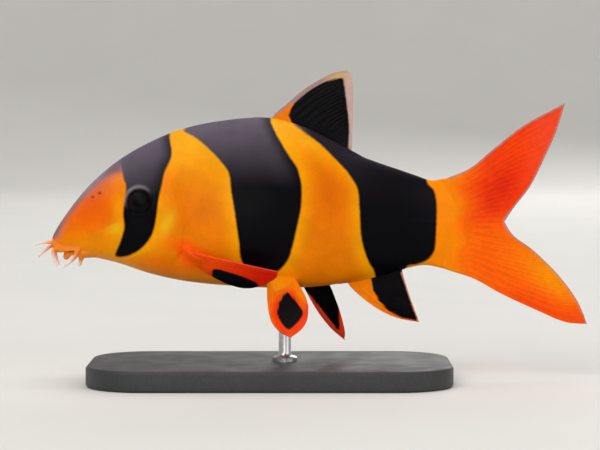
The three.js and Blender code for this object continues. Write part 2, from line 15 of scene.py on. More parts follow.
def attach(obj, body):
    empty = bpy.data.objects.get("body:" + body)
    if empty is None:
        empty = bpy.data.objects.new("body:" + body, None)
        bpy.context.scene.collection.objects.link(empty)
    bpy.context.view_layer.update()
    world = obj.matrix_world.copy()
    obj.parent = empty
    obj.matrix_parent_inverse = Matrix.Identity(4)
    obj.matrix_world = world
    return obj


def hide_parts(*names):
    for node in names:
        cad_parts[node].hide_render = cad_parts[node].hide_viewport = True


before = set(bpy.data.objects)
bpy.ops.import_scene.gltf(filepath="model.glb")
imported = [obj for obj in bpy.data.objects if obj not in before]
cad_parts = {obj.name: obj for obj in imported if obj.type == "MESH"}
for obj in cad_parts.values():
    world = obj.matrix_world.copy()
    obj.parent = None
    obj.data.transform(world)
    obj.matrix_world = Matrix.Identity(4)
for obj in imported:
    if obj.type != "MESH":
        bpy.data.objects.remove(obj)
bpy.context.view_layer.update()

MM = 0.001

# Camera and photograph

PHOTO_WIDTH = 600
PHOTO_HEIGHT = 450
PIXEL = 0.24254  # millimetres on the fish's mid-plane
MID_X_PIXEL = 270  # the pixel column of X 0
LEVEL_PIXEL = 343  # the pixel row of the height below
LEVEL_Z = 9.5
LENS = 135
SENSOR = 36
ELEVATION = math.radians(3)
CAMERA_CLIP = (0.01, 20)  # metres

# The body, as in the solids: [distance from the snout, size]

SNOUT_X = -52.9
FLESH_LENGTH = 98.5
BACK = [
    [0, 34.5], [0.5, 36.1], [1.5, 37.9], [3.2, 40.4], [6.1, 44.3], [10.4, 49], [16.5, 54], [23.8, 58.2],
    [32, 61.5], [42, 63.5], [50.9, 64], [60.1, 61.8], [72.3, 55.9], [84.4, 51.5], [92.2, 49.3], [98.5, 50.4],
]
BELLY = [
    [0, 34.5], [0.5, 33.5], [1.5, 32.8], [3.2, 32.1], [6.1, 31.3], [10.4, 30.3], [16.5, 28.8], [23.8, 26.4],
    [32, 24.6], [42, 23.5], [52.9, 22.9], [61.4, 23], [68.6, 23.7], [75.9, 25.2], [84.4, 27.2], [90.5, 28.2],
    [98.5, 26.4],
]
HALF_WIDTH = [
    [0, 0], [0.5, 1.5], [1.5, 2.4], [3.2, 3.2], [6.1, 4.1], [10.4, 5.2], [16.5, 6.6], [23.8, 8], [32, 9],
    [42, 9.6], [52.9, 9.3], [61.4, 8.4], [72.3, 6.7], [84.4, 4.5], [92.2, 2.9], [98.5, 1.4],
]
WAIST = [[0, 0.4], [6.1, 0.4], [16.5, 0.38], [32, 0.36], [52.9, 0.4], [72.3, 0.46], [98.5, 0.5]]
UPPER_POWER = [[0, 2], [16.5, 1.9], [42, 1.8], [61.4, 1.8], [84.4, 2], [98.5, 2.8]]
LOWER_POWER = [[0, 2.2], [16.5, 2.3], [32, 2.3], [61.4, 2.1], [84.4, 2], [98.5, 2.8]]
SWING_FROM_X = 10
TAIL_SWING = 0.00112
HEAD_FROM_X = -15
HEAD_SWING = 0.0005

# The skin's mesh and its end over the roots of the tail rays

SKIN_SIDES = 300
SKIN_RINGS = 320
FLANK_CROWDING = 0.3
SNOUT_CROWDING = 0.75
SKIN_LENGTH = 101
WEDGE_FROM = 88
END_BOW = 4.4
END_HALF_HEIGHT = 12
END_DROP = 1.15
END_POWER = 2.1

# Relief of the head

MOUTH_CORNER = (-46.6, 32.2)
UPPER_LIP = {"reach": 5.3, "half_width": 2.9, "front_z": 32.4, "radius": 0.85}
LOWER_LIP = {"reach": 2.9, "half_width": 2.6, "front_z": 30.4, "radius": 0.75}
MOUTH_SLIT = {"reach": 4.2, "half_width": 2.35, "front_z": 31.5, "depth": 1.25, "width": 0.42}
LIP_CORNER = 0.75
CHIN = {"centre": (-44.6, 0, 31.6), "radii": (4.2, 3, 1.5)}
SNOUT_PAD = {"centres": [[-51.6, -1.0, 33.6], [-51.4, 0, 33.9]], "radius": 1.05}
FOOT_ENDS = 0.86  # the foot of a barbel is this much thinner than the barbel where it leaves the lip
HEAD_TO_X = -12
SMOOTHED_TO_X = -16
NOSTRILS = [[-42.6, 45, 0.42], [-40.9, 46, 0.5]]
NOSTRIL_RIM = 0.3
NOSTRIL_DEPTH = 0.75
EYE_X = -31.3
EYE_Z = 44.2
EYE_RADIUS = 3.05
EYE_SINK = 0.5
EYE_STANDS_OUT = 1.0
PUPIL_RADIUS = 1.75
IRIS_RADIUS = 2.62
CORNEA = 0.14
EYELID = {"at": 3.35, "height": 0.34, "width": 0.6}
EYE_SOCKET = {"from": 2.3, "to": 2.95, "depth": 0.9}
LID_GLINT = {"at": 3.45, "width": 0.42}
COVER_RISE = 0.55
COVER_FROM_X = -31
COVER_TO_X = -22
COVER_LOW_Z = 27.5
COVER_HIGH_Z = 52
COVER_FADE = 6.5
COVER_STEP = (-0.35, 0.25)  # from before to behind the cover's edge
COVER_GROOVE = {"behind": 0.35, "depth": 0.3, "width": 0.5}
GILL_EDGE = [
    [68.4, -22.3], [60.9, -23], [53.9, -24], [46.6, -22.8], [38.8, -20.4], [32.5, -20.9], [27.7, -24.3],
]
CHEEK_GROOVE = [[-36.3, 39.2], [-37.4, 38.8], [-39.2, 38], [-41.4, 36.8]]
CHEEK_RIDGE = [[-27.3, 46], [-25.9, 41.5], [-26.3, 36.5], [-29, 32.6], [-34, 30.6]]
LATERAL_LINE = [[-22, 48.5], [-14, 46], [0, 43.6], [16, 41], [30, 39.4], [44, 38.6]]
GROOVE_SIZE = (0.3, 0.3)  # depth or height, and width, as for the next three
GROOVE_LIP = (0.12, 0.45)
RIDGE_SIZE = (0.16, 0.9)
LINE_SIZE = (0.045, 0.35)

# Barbels of the left side, from inside the lip to the tip

BARBEL_ROOT = 0.54
BARBEL_TIP = 0.2
FOOT_RADIUS = 0.84
BARBELS = {
    "rostral_inner": [[-51, -0.6, 33.4], [-53.2, -1, 33.9], [-55, -1.9, 33.9], [-56.9, -3, 33.3]],
    "rostral_outer": [[-51.2, -1.7, 33], [-52.4, -2.3, 31.9], [-52.2, -2.7, 30], [-51.6, -3, 28.2]],
    "maxillary": [[-46.4, -2.8, 32.4], [-46.9, -3.9, 31.1], [-48.2, -4.6, 29.4], [-50, -5.1, 28]],
    "mandibular": [[-45.6, -1.2, 31], [-46, -1.6, 29.4], [-46.2, -1.8, 28.7], [-46.2, -2, 28.1]],
}
DROOPING_BARBEL = [[-51, 0.6, 33.4], [-53.4, 1.1, 32.8], [-55.2, 1.9, 31.5], [-56.8, 3, 30]]

# Fins, with the true number of rays

ROOT_SINK = 2
NOTCH = 0.09  # how far the web steps back between the tips of two rays
RAY_JOINT = 0.42  # from one joint of a ray to the next
WEB_HALF = (0.13, 0.06)  # half the web's thickness at the root and at the edge, as for the next two
RAY_CREST = (0.17, 0.07)
RAY_WIDTH = (0.2, 0.075)  # as a share of the space from ray to ray
LEAD_RAY = 0.16
RIM_THINNED = 0.4
FIRST_FORK = (0.34, 0.62)  # where the rays part, from 0 at the root to 1 at the edge
SECOND_FORK = (0.62, 0.88)
DORSAL = {
    "rays": 12,
    "from": -1.2,
    "to": 19,
    "lead": [[1.5, 65.3], [4.4, 67.7], [6.8, 69.8], [9.8, 72.0], [15.2, 74.9], [18.8, 75.5]],
    "edge": [[18.8, 75.5], [19.8, 74.3], [20.1, 70.4], [20.1, 63.6], [19.9, 57]],
}
DORSAL_BLACK = {
    "front": (4.3, 64.7),
    "lean": 0.5,
    "lead_rim": 0.9,
    "lead_rim_more": 0.8,
    "edge_rim": (0.75, 2.3),
}
ANAL = {
    "rays": 8,
    "from": 17.6,
    "to": 31.6,
    "lead": [[20.2, 22.4], [25.4, 18.2], [30.6, 15.6], [36.4, 14.4]],
    "edge": [[36.4, 14.4], [35, 18], [33.6, 22], [32.2, 26.4]],
}
TAIL_RAYS = 19
FORK = (57.1, 38.8)
TAIL_MIDDLE = (45.6, 38.6)
TAIL_ROOT_TUCK = 0.07
UPPER_LOBE = {
    "lead": [[43.6, 49.7], [48.8, 52], [54.8, 56.9], [62, 62.4], [72, 67.7]],
    "edge": [[72, 67.7], [69.9, 60.9], [67.2, 54.9], [63.5, 47.6], [59.5, 42.4]],
}
LOWER_LOBE = {
    "lead": [[43.6, 27], [49.6, 24.95], [56.4, 21.2], [64.5, 17.4], [72, 14.2], [77.7, 13.6]],
    "edge": [[77.7, 13.6], [75.3, 19.2], [70.7, 25.5], [64.5, 31.6], [59.4, 35.4]],
}
PECTORAL = {
    "rays": 13,
    "root": [[-2.4, -2.2], [-2.4, 2.2]],
    "lead": [[-2.4, -2.2], [6, -2.6], [14, -2.5], [22, -1.9]],
    "edge": [[22, -1.9], [21.2, 0.6], [17.6, 3.6], [13, 5.6], [8.4, 5.8]],
    "trail": [[-2.4, 2.2], [2.6, 3.2], [8.4, 5.8]],
    "blotch": [[6.2, 1], [10.1, 1], [14.3, 1.8], [17, 3.2], [15.6, 6.4], [11, 8], [6, 7.4], [5.2, 3.2]],
}
PELVIC = {
    "rays": 8,
    "root": [[-2.2, -2.8], [-2.2, 2.8]],
    "lead": [[-2.2, -2.8], [3, -3.7], [8, -4.1], [12.6, -3.8], [16.2, -2.1], [18.2, 0.1]],
    "edge": [[18.2, 0.1], [16.2, 2.7], [13, 4.6], [9, 5.5]],
    "trail": [[-2.2, 2.8], [1.6, 4.1], [5.4, 5.2], [9, 5.5]],
    "blotch": [[3.9, 1], [7.6, -1.6], [11.4, -2.1], [15.6, -0.4], [14, 1.9], [10.8, 3.9], [7.7, 3.1]],
}
CLOSED_PELVIC = {
    "rays": 8,
    "root": [[-2.2, -1.7], [-2.2, 3.5]],
    "lead": [[-2.2, -1.7], [4, -2.1], [10, -2.2], [15.4, -1.6], [19.8, -0.2]],
    "edge": [[19.8, -0.2], [17.4, 1.3], [13.2, 2.5], [9, 3.5]],
    "trail": [[-2.2, 3.5], [1.4, 4.2], [5, 4.2], [9, 3.5]],
    "blotch": [
        [-4, -2.8], [3, -2.3], [7, -1.3], [12, -0.7], [16.6, 0], [13.4, 1.9], [9, 3.9], [3, 5], [-4, 5],
    ],
}
CAMBER = 0.004
ROOT_TUCK = 0.075  # how sharply the root of a paired fin turns into the flesh
TUCK_TO = 1.8
PECTORALS = {
    "left": {"x": -18.7, "z": 30.4, "side": -1, "along": (0.91, -0.34, -0.24), "across": (0.2, 0.6, -0.78)},
    "right": {"x": -18.7, "z": 30.4, "side": 1, "along": (0.88, 0.42, -0.26), "across": (0.26, -0.58, -0.78)},
}
PELVICS = {
    "left": {"x": 2.6, "z": 25, "side": -1, "along": (0.14, -0.66, -0.74), "across": (0.99, 0.08, 0.1)},
    "right": {"x": 8.8, "z": 25.4, "side": 1, "along": (0.47, 0.24, -0.84), "across": (0.8, -0.4, 0.4)},
}

# Stand

PLATE = {"length": 88, "width": 46, "height": 5, "corner": 14, "bevel": 0.8}
POST = {"x": 3.6, "radius": 1.5, "collar_radius": 3, "collar_height": 1.2, "corner": 0.3, "in_belly": 1.5}
TURNING_LINES = (1, 1, 9)  # the fine lines of the rod are this much closer along it

# Studio, in metres: name, place, size, watts and colour of each lamp

FLOOR_RADIUS = 1.25
WALL_RADIUS = 1.9
WALL_TOP = 2.4
LAMPS = (
    ("key", (-0.55, -0.85, 0.95), 0.9, 6.7, (1, 0.985, 0.96)),
    ("low", (-0.1, -1.0, 0.24), 0.45, 1.5, (1, 1, 1)),
    ("overhead", (0.1, 0.15, 1.5), 1.3, 8, (1, 1, 1)),
    ("fill", (0.95, -0.75, 0.35), 0.9, 3, (0.96, 0.98, 1)),
    ("rim", (0.35, 1.15, 0.6), 0.9, 4, (1, 1, 1)),
)
ROOM_COLOUR = (0.92, 0.95, 1, 1)
ROOM_STRENGTH = 0.32

# Markings, in pixels of the photograph, which shows the left side

EYE_BAND = [
    (170, 100), (170, 136), (172, 155), (165, 172), (162, 186), (159, 200), (156, 221), (152, 235),
    (142, 248), (128, 256), (115, 256), (120, 242), (124, 228), (123, 214), (125, 200), (126, 186),
    (122, 170), (114, 100),
]
SHOULDER_BAND = [
    (187, 90), (187, 124), (184, 131), (196, 138), (210, 150), (222, 163), (229, 174), (231, 191),
    (234, 209), (237, 230), (239, 244), (241, 260), (252, 274), (268, 276), (279, 271), (288, 260),
    (292, 249), (297, 228), (301, 209), (302, 191), (301, 181), (297, 167), (290, 157), (281, 142),
    (271, 122), (262, 90),
]
TAIL_BAND = [
    (285, 60), (284, 113), (288, 120), (294, 126), (302, 131), (312, 138), (322, 146), (334, 158),
    (347, 172), (357, 188), (359, 205), (360, 224), (361, 237), (364, 250), (369, 263), (375, 275),
    (378, 310), (409, 300), (406, 269), (416, 265), (427, 261), (434, 253), (436, 244), (437, 224),
    (437, 204), (434, 190), (427, 181), (425, 150), (425, 60),
]
# the rear edges of two bands, along which the painted sheen fades
BAND_REARS = (EYE_BAND[:9], SHOULDER_BAND[18:])
ANAL_BLACK = [
    (369, 255), (371, 281), (373, 291), (379, 301), (389, 312), (402, 319), (418, 322), (425, 300),
    (412, 255),
]
SNOUT_STREAK = [
    (122, 150), (122, 171), (112, 175), (100, 183), (88, 194), (76, 207), (66, 220), (58, 236),
    (50, 240), (40, 230), (60, 180), (90, 150),
]


def tone(red, green, blue):
    """A linear colour from a screen colour of 0 to 255."""
    screen = np.array([red, green, blue]) / 255
    linear = np.where(screen <= 0.04045, screen / 12.92, ((screen + 0.055) / 1.055) ** 2.4)
    return tuple(np.append(linear, 1))


GOLD = tone(242, 158, 0)
BRIGHT_GOLD = tone(250, 178, 34)
ORANGE = tone(234, 124, 0)
DEEP_ORANGE = tone(216, 100, 0)
FACE_ORANGE = tone(236, 106, 2)
CHEEK_RED = tone(236, 86, 4)
LEMON = tone(232, 180, 22)
ROSE = tone(206, 112, 88)
THROAT = tone(234, 160, 62)
LIP_ORANGE = tone(240, 136, 46)
BARBEL_PINK = tone(242, 214, 198)
# also the painted sheen high on the bands
VIOLET_GREY = tone(106, 96, 110)
# painted highlight along the top edge of the snout
SNOUT_EDGE_HIGHLIGHT = tone(158, 152, 164)
# painted highlight on the eyelid
LID_GLINT_GREY = tone(136, 126, 134)
BLACK = tone(4, 3, 6)
FIN_RED = tone(240, 58, 6)
FIN_CRIMSON = tone(206, 20, 8)
FIN_ORANGE = tone(255, 112, 0)
FIN_GOLD = tone(252, 138, 0)
FIN_PINK = tone(238, 78, 52)
FIN_RIM = tone(164, 138, 134)
PALE_RIM = tone(190, 168, 158)
BLOOD_ORANGE = tone(250, 84, 4)
HORN = tone(198, 168, 118)
MOUTH_SHADE = tone(60, 14, 8)
NOSTRIL_SHADE = tone(40, 12, 8)
PUPIL_BLACK = tone(3, 3, 4)
IRIS_DARK = tone(5, 5, 7)
IRIS_FLECK = tone(15, 13, 14)
IRIS_RING = tone(52, 46, 42)
IRIS_RIM = tone(12, 11, 14)


# Small tools


def fade(start, end, value):
    t = np.clip((value - start) / (end - start), 0, 1)
    return t * t * (3 - 2 * t)


def blend(a, b, t):
    return a + (b - a) * t


def bell(distance, width):
    return np.exp(-((distance / width) ** 2))


def soft_max(a, b, softness):
    near = np.maximum(softness - np.abs(a - b), 0) / softness
    return np.maximum(a, b) + softness * near * near / 4


def unit(vectors):
    length = np.linalg.norm(vectors, axis=-1, keepdims=True)
    return vectors / np.maximum(length, 1e-12)


def along_body(knots):
    """A smooth size along the fish, drawn over the root of the distance so that the snout comes out round."""
    at = np.sqrt([distance for distance, _ in knots])
    size = np.array([value for _, value in knots], float)
    last = len(knots) - 1
    before = np.maximum(np.arange(last + 1) - 1, 0)
    after = np.minimum(np.arange(last + 1) + 1, last)
    slope = (size[after] - size[before]) / (at[after] - at[before])

    def read(distance):
        x = np.sqrt(np.clip(distance, 0, FLESH_LENGTH))
        i = np.clip(np.searchsorted(at, x) - 1, 0, last - 1)
        width = at[i + 1] - at[i]
        t = np.clip((x - at[i]) / width, 0, 1)
        rise = size[i + 1] - size[i]
        start = (1 - t) * (slope[i] * width - rise)
        end = t * (slope[i + 1] * width - rise)
        return size[i] + rise * t + t * (1 - t) * (start - end)

    return read


back = along_body(BACK)
belly = along_body(BELLY)
half_width = along_body(HALF_WIDTH)
waist = along_body(WAIST)
upper_power = along_body(UPPER_POWER)
lower_power = along_body(LOWER_POWER)


def swing(x):
    """How far the pose bends the fish sideways."""
    tail = np.maximum(x - SWING_FROM_X, 0)
    head = np.maximum(HEAD_FROM_X - x, 0)
    return TAIL_SWING * tail**2 + HEAD_SWING * head**2


def side_at(x, z):
    """Half the body's width at a place on its side."""
    d = x - SNOUT_X
    top = back(d)
    bottom = belly(d)
    middle = blend(bottom, top, waist(d))
    above = z > middle
    reach = np.where(above, (z - middle) / (top - middle), (middle - z) / (middle - bottom))
    power = np.where(above, upper_power(d), lower_power(d))
    return half_width(d) * (1 - np.minimum(np.abs(reach), 1) ** power) ** (1 / power)


def outward_at(x, z, side):
    step = 0.5
    along = (side_at(x + step, z) - side_at(x - step, z)) / (2 * step)
    up = (side_at(x, z + step) - side_at(x, z - step)) / (2 * step)
    return unit(np.array([-along, side, -up], float))


def on_side(x, z, side):
    return np.array([x, side * side_at(x, z), z], float)


def curve_points(points, steps=40, closed=False):
    """A smooth line through the points, as closely spaced points."""
    knots = np.array(points, float)
    if closed:
        knots = np.vstack([knots[-1], knots, knots[:2]])
    else:
        knots = np.vstack([knots[0], knots, knots[-1]])
    t = np.linspace(0, 1, steps, endpoint=False)[:, None]
    runs = []
    for a, b, c, d in zip(knots, knots[1:], knots[2:], knots[3:]):
        speed_in = (c - a) / 2
        speed_out = (d - b) / 2
        cubic = (2 * b - 2 * c + speed_in + speed_out) * t**3
        runs.append(cubic + (3 * c - 3 * b - 2 * speed_in - speed_out) * t**2 + speed_in * t + b)
    if not closed:
        runs.append(knots[-1:])
    return np.vstack(runs)


def even_curve(points):
    """A smooth line through the points, read at even steps of its length from 0 to 1."""
    line = curve_points(points)
    length = np.append(0, np.cumsum(np.linalg.norm(np.diff(line, axis=0), axis=1)))
    length = length / length[-1]

    def read(t):
        return np.stack([np.interp(t, length, axis) for axis in line.T], axis=-1)

    return read


def distance_to_line(places, line):
    """The distance of each place from a line of points."""
    best = np.full(len(places), np.inf)
    for start, end in zip(line, line[1:]):
        run = end - start
        t = np.clip((places - start) @ run / max(run @ run, 1e-12), 0, 1)
        best = np.minimum(best, np.linalg.norm(places - start - t[:, None] * run, axis=1))
    return best


def depth_inside(places, outline):
    """How deep each place lies inside an outline drawn from the side, and below zero outside it."""
    loop = np.vstack([outline, outline[:1]])
    depth = distance_to_line(places, loop)
    crossings = np.zeros(len(places), int)
    x, z = places.T
    for (ax, az), (bx, bz) in zip(loop, loop[1:]):
        if az == bz:
            continue
        spans = (az > z) != (bz > z)
        crossings += spans & (x < ax + (z - az) * (bx - ax) / (bz - az))
    return np.where(crossings % 2 == 1, depth, -depth)


# From the photograph to the fish


def from_pixels(pixels):
    columns, rows = np.array(pixels, float).T
    return np.stack([(columns - MID_X_PIXEL) * PIXEL, LEVEL_Z + (LEVEL_PIXEL - rows) * PIXEL], axis=-1)


AIM_X, AIM_Z = from_pixels([(PHOTO_WIDTH / 2, PHOTO_HEIGHT / 2)])[0]
CAMERA_DISTANCE = PHOTO_WIDTH * PIXEL * LENS / SENSOR
CAMERA_PLACE = np.array(
    [AIM_X, -CAMERA_DISTANCE * math.cos(ELEVATION), AIM_Z + CAMERA_DISTANCE * math.sin(ELEVATION)]
)


def as_photographed(points):
    """Where each point of either side falls on the mid-plane for the camera, so a marking lands as drawn."""
    depth = -np.abs(points[:, 1]) - CAMERA_PLACE[1]
    reach = (-CAMERA_PLACE[1] / depth)[:, None]
    flat = points[:, [0, 2]]
    eye = CAMERA_PLACE[[0, 2]]
    return eye + (flat - eye) * reach


# Meshes


def mesh_from(bm, name):
    mesh = bpy.data.meshes.new(name)
    bm.to_mesh(mesh)
    bm.free()
    return mesh


def points_of(mesh):
    flat = np.empty(len(mesh.vertices) * 3)
    mesh.vertices.foreach_get("co", flat)
    return flat.reshape(-1, 3)


def move_points(mesh, points):
    mesh.vertices.foreach_set("co", np.ascontiguousarray(points, dtype=np.float32).ravel())
    mesh.update()


def side_view_of(mesh):
    return points_of(mesh)[:, [0, 2]]


def outward_of(mesh):
    flat = np.empty(len(mesh.vertices) * 3)
    mesh.vertex_normals.foreach_get("vector", flat)
    return flat.reshape(-1, 3)


def write_values(mesh, name, values):
    layer = mesh.attributes.new(name, "FLOAT", "POINT")
    layer.data.foreach_set("value", np.asarray(values, np.float32))


def write_colours(mesh, name, colours):
    layer = mesh.attributes.new(name, "FLOAT_COLOR", "POINT")
    layer.data.foreach_set("color", colours.astype(np.float32).ravel())


def write_uv(mesh, name, u, v):
    corner = np.empty(len(mesh.loops), int)
    mesh.loops.foreach_get("vertex_index", corner)
    layer = mesh.uv_layers.new(name=name)
    layer.data.foreach_set("uv", np.stack([u[corner], v[corner]], axis=-1).astype(np.float32).ravel())


def tidy_mesh(mesh, merge=0.0005):
    """Merges doubled points and turns every face outwards."""
    bm = bmesh.new()
    bm.from_mesh(mesh)
    bmesh.ops.remove_doubles(bm, verts=bm.verts, dist=merge)
    bmesh.ops.recalc_face_normals(bm, faces=bm.faces)
    if bm.calc_volume(signed=True) < 0:
        bmesh.ops.reverse_faces(bm, faces=bm.faces)
    bm.to_mesh(mesh)
    bm.free()


def spun(profile, steps, merge):
    """A profile of radius and height turned once round the upright axis."""
    bm = bmesh.new()
    verts = [bm.verts.new((radius, 0, height)) for radius, height in profile]
    edges = [bm.edges.new(pair) for pair in zip(verts, verts[1:])]
    bmesh.ops.spin(
        bm, geom=verts + edges, cent=(0, 0, 0), axis=(0, 0, 1), angle=2 * math.pi, steps=steps, use_merge=True
    )
    bmesh.ops.remove_doubles(bm, verts=bm.verts, dist=merge)
    bmesh.ops.recalc_face_normals(bm, faces=bm.faces)
    return bm


def round_edges(bm, edges, radius, segments):
    bmesh.ops.bevel(
        bm, geom=edges, offset=radius, offset_type="OFFSET", affect="EDGES", segments=segments,
        profile=0.5, material=-1, clamp_overlap=False,
    )


def link_object(name, data):
    made = bpy.data.objects.new(name, data)
    bpy.context.scene.collection.objects.link(made)
    return made


def look_along(made, way):
    made.rotation_mode = "QUATERNION"
    made.rotation_quaternion = way.to_track_quat("-Z", "Y")


def piece(mesh, material, replaces=(), bend=True):
    """A finished piece from a mesh in millimetres."""
    points = points_of(mesh)
    if bend:
        points[:, 1] += swing(points[:, 0])
    move_points(mesh, points * MM)
    mesh.shade_smooth()
    mesh.materials.append(material)
    made = link_object(mesh.name, mesh)
    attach(made, "root")
    if replaces:
        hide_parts(*replaces)
    return made


# Materials


def add_node(tree, kind, inputs=None, **settings):
    made = tree.nodes.new(kind)
    for name, value in settings.items():
        setattr(made, name, value)
    for socket, value in (inputs or {}).items():
        if isinstance(value, bpy.types.NodeSocket):
            tree.links.new(value, made.inputs[socket])
        else:
            made.inputs[socket].default_value = value
    return made


def new_material(name, **constants):
    """A material whose constant values are set on the shader's own sockets."""
    material = bpy.data.materials.new(name)
    material.use_nodes = True
    shader = material.node_tree.nodes["Principled BSDF"]
    for socket, value in constants.items():
        shader.inputs[socket.replace("_", " ").title().replace("Ior", "IOR")].default_value = value
    return material, material.node_tree, shader


def reading(tree, attribute):
    return add_node(tree, "ShaderNodeAttribute", attribute_name=attribute)


def place_of(tree, stretch=(1, 1, 1)):
    source = add_node(tree, "ShaderNodeTexCoord")
    mapping = add_node(tree, "ShaderNodeMapping", {"Vector": source.outputs["Object"], "Scale": stretch})
    return mapping.outputs["Vector"]


def noise(tree, place, size, detail=3, roughness=0.5):
    """Clouded noise with lumps of about the given size in millimetres."""
    inputs = {"Vector": place, "Scale": 1 / (size * MM), "Detail": detail, "Roughness": roughness}
    return add_node(tree, "ShaderNodeTexNoise", inputs).outputs["Fac"]


def cell_edges(tree, place, size):
    """The distance from the edge of small cells, such as scales."""
    inputs = {"Vector": place, "Scale": 1 / (size * MM)}
    made = add_node(tree, "ShaderNodeTexVoronoi", inputs, feature="DISTANCE_TO_EDGE")
    return made.outputs["Distance"]


def maths(tree, operation, a, b=0.0, c=0.0):
    return add_node(tree, "ShaderNodeMath", {0: a, 1: b, 2: c}, operation=operation).outputs[0]


def step_up(tree, value, low, high, bottom=0.0, top=1.0):
    inputs = {"Value": value, "From Min": low, "From Max": high, "To Min": bottom, "To Max": top}
    return add_node(tree, "ShaderNodeMapRange", inputs, interpolation_type="SMOOTHSTEP").outputs["Result"]


def clouded(tree, place, size, low, high, detail=3, roughness=0.5):
    """Clouded noise that runs from a low to a high value."""
    return step_up(tree, noise(tree, place, size, detail, roughness), 0.3, 0.7, low, high)


def ragged_edge(tree, attribute, place, lumps, width, detail):
    """The depth inside a marking, with its edge made ragged by noise of a given width in millimetres."""
    rough = noise(tree, place, lumps, detail, 0.6)
    shift = maths(tree, "MULTIPLY_ADD", rough, width, -width / 2)
    return maths(tree, "ADD", reading(tree, attribute).outputs["Fac"], shift)


def mix(tree, factor, a, b, mode="MIX"):
    inputs = {0: factor, 6: a, 7: b}
    return add_node(tree, "ShaderNodeMix", inputs, data_type="RGBA", blend_type=mode).outputs[2]


def relief(tree, shader, height, depth, strength=1.0):
    inputs = {"Height": height, "Distance": depth * MM, "Strength": strength}
    bump = add_node(tree, "ShaderNodeBump", inputs)
    tree.links.new(bump.outputs["Normal"], shader.inputs["Normal"])


def connect(tree, shader, **sources):
    for socket, source in sources.items():
        tree.links.new(source, shader.inputs[socket.replace("_", " ").title()])


def varnished_skin():
    material, tree, shader = new_material(
        "varnished_skin",
        subsurface_weight=0.05,
        subsurface_scale=0.0015,
        specular_ior_level=0.04,
        coat_weight=0.02,
        coat_roughness=0.12,
    )
    place = place_of(tree)
    in_band = step_up(tree, ragged_edge(tree, "band_depth", place, 0.7, 0.3, 4), -0.34, 0.36)
    ground = reading(tree, "ground").outputs["Color"]
    # the bands' black, which carries the painted sheen and the painted lid highlight
    band_black_and_sheen = reading(tree, "band_black_and_sheen").outputs["Color"]
    painted = mix(tree, in_band, ground, band_black_and_sheen)
    clouds = clouded(tree, place, 5, 0.93, 1.05, roughness=0.55)
    specks = step_up(tree, noise(tree, place, 0.28, 2, 0.7), 0.25, 0.75, 0.94, 1.04)
    scale_edge = cell_edges(tree, place, 0.34)
    scales = step_up(tree, scale_edge, 0.0, 0.2, 0.97, 1.01)
    shade = maths(tree, "MULTIPLY", maths(tree, "MULTIPLY", clouds, specks), scales)
    colour = mix(tree, 1.0, painted, shade, "MULTIPLY")
    connect(tree, shader, base_color=colour, roughness=clouded(tree, place, 1.6, 0.34, 0.46))
    pits = maths(tree, "MULTIPLY_ADD", noise(tree, place, 0.22, 2), 0.35, step_up(tree, scale_edge, 0.0, 0.3))
    relief(tree, shader, pits, 0.008, 0.5)
    return material


def fin_web():
    material, tree, shader = new_material(
        "fin_web",
        subsurface_weight=0.3,
        subsurface_scale=0.0009,
        specular_ior_level=0.05,
        coat_weight=0.02,
        coat_roughness=0.15,
    )
    place = place_of(tree)
    ray = reading(tree, "ray").outputs["Fac"]
    along_rays = maths(tree, "MULTIPLY_ADD", ray, 0.22, -0.1)
    depth = maths(tree, "ADD", ragged_edge(tree, "blotch_depth", place, 0.5, 0.36, 3), along_rays)
    in_blotch = step_up(tree, depth, -0.25, 0.3)
    ground = reading(tree, "ground").outputs["Color"]
    # painted light and shade: ray crests painted lighter and the web between them deeper
    ray_light_web_shade = step_up(tree, ray, 0.0, 1.0, 0.93, 1.04)
    mottle = clouded(tree, place, 1.4, 0.94, 1.05, roughness=0.6)
    lit = mix(tree, 1.0, ground, maths(tree, "MULTIPLY", ray_light_web_shade, mottle), "MULTIPLY")
    colour = mix(tree, in_blotch, lit, BLACK)
    connect(tree, shader, base_color=colour, roughness=clouded(tree, place, 0.8, 0.36, 0.5))
    along = add_node(tree, "ShaderNodeSeparateXYZ", {0: reading(tree, "web").outputs["Vector"]}).outputs["Y"]
    wave = maths(tree, "SINE", maths(tree, "MULTIPLY", along, 2 * math.pi / RAY_JOINT))
    joints = maths(tree, "MULTIPLY", step_up(tree, wave, 0.55, 1.0), ray)
    relief(tree, shader, maths(tree, "SUBTRACT", noise(tree, place, 0.25, 2), joints), 0.013, 0.5)
    return material


def barbel_skin():
    material, tree, shader = new_material(
        "barbel_skin",
        subsurface_weight=0.2,
        subsurface_scale=0.0006,
        specular_ior_level=0.15,
        coat_weight=0.05,
        coat_roughness=0.2,
    )
    place = place_of(tree)
    towards_tip = step_up(tree, reading(tree, "along").outputs["Fac"], 0.0, 0.65)
    colour = mix(tree, towards_tip, LIP_ORANGE, BARBEL_PINK)
    colour = mix(tree, 1.0, colour, clouded(tree, place, 0.6, 0.92, 1.04, roughness=0.6), "MULTIPLY")
    connect(tree, shader, base_color=colour, roughness=clouded(tree, place, 0.5, 0.35, 0.5))
    relief(tree, shader, noise(tree, place, 0.16, 2), 0.02, 0.6)
    return material


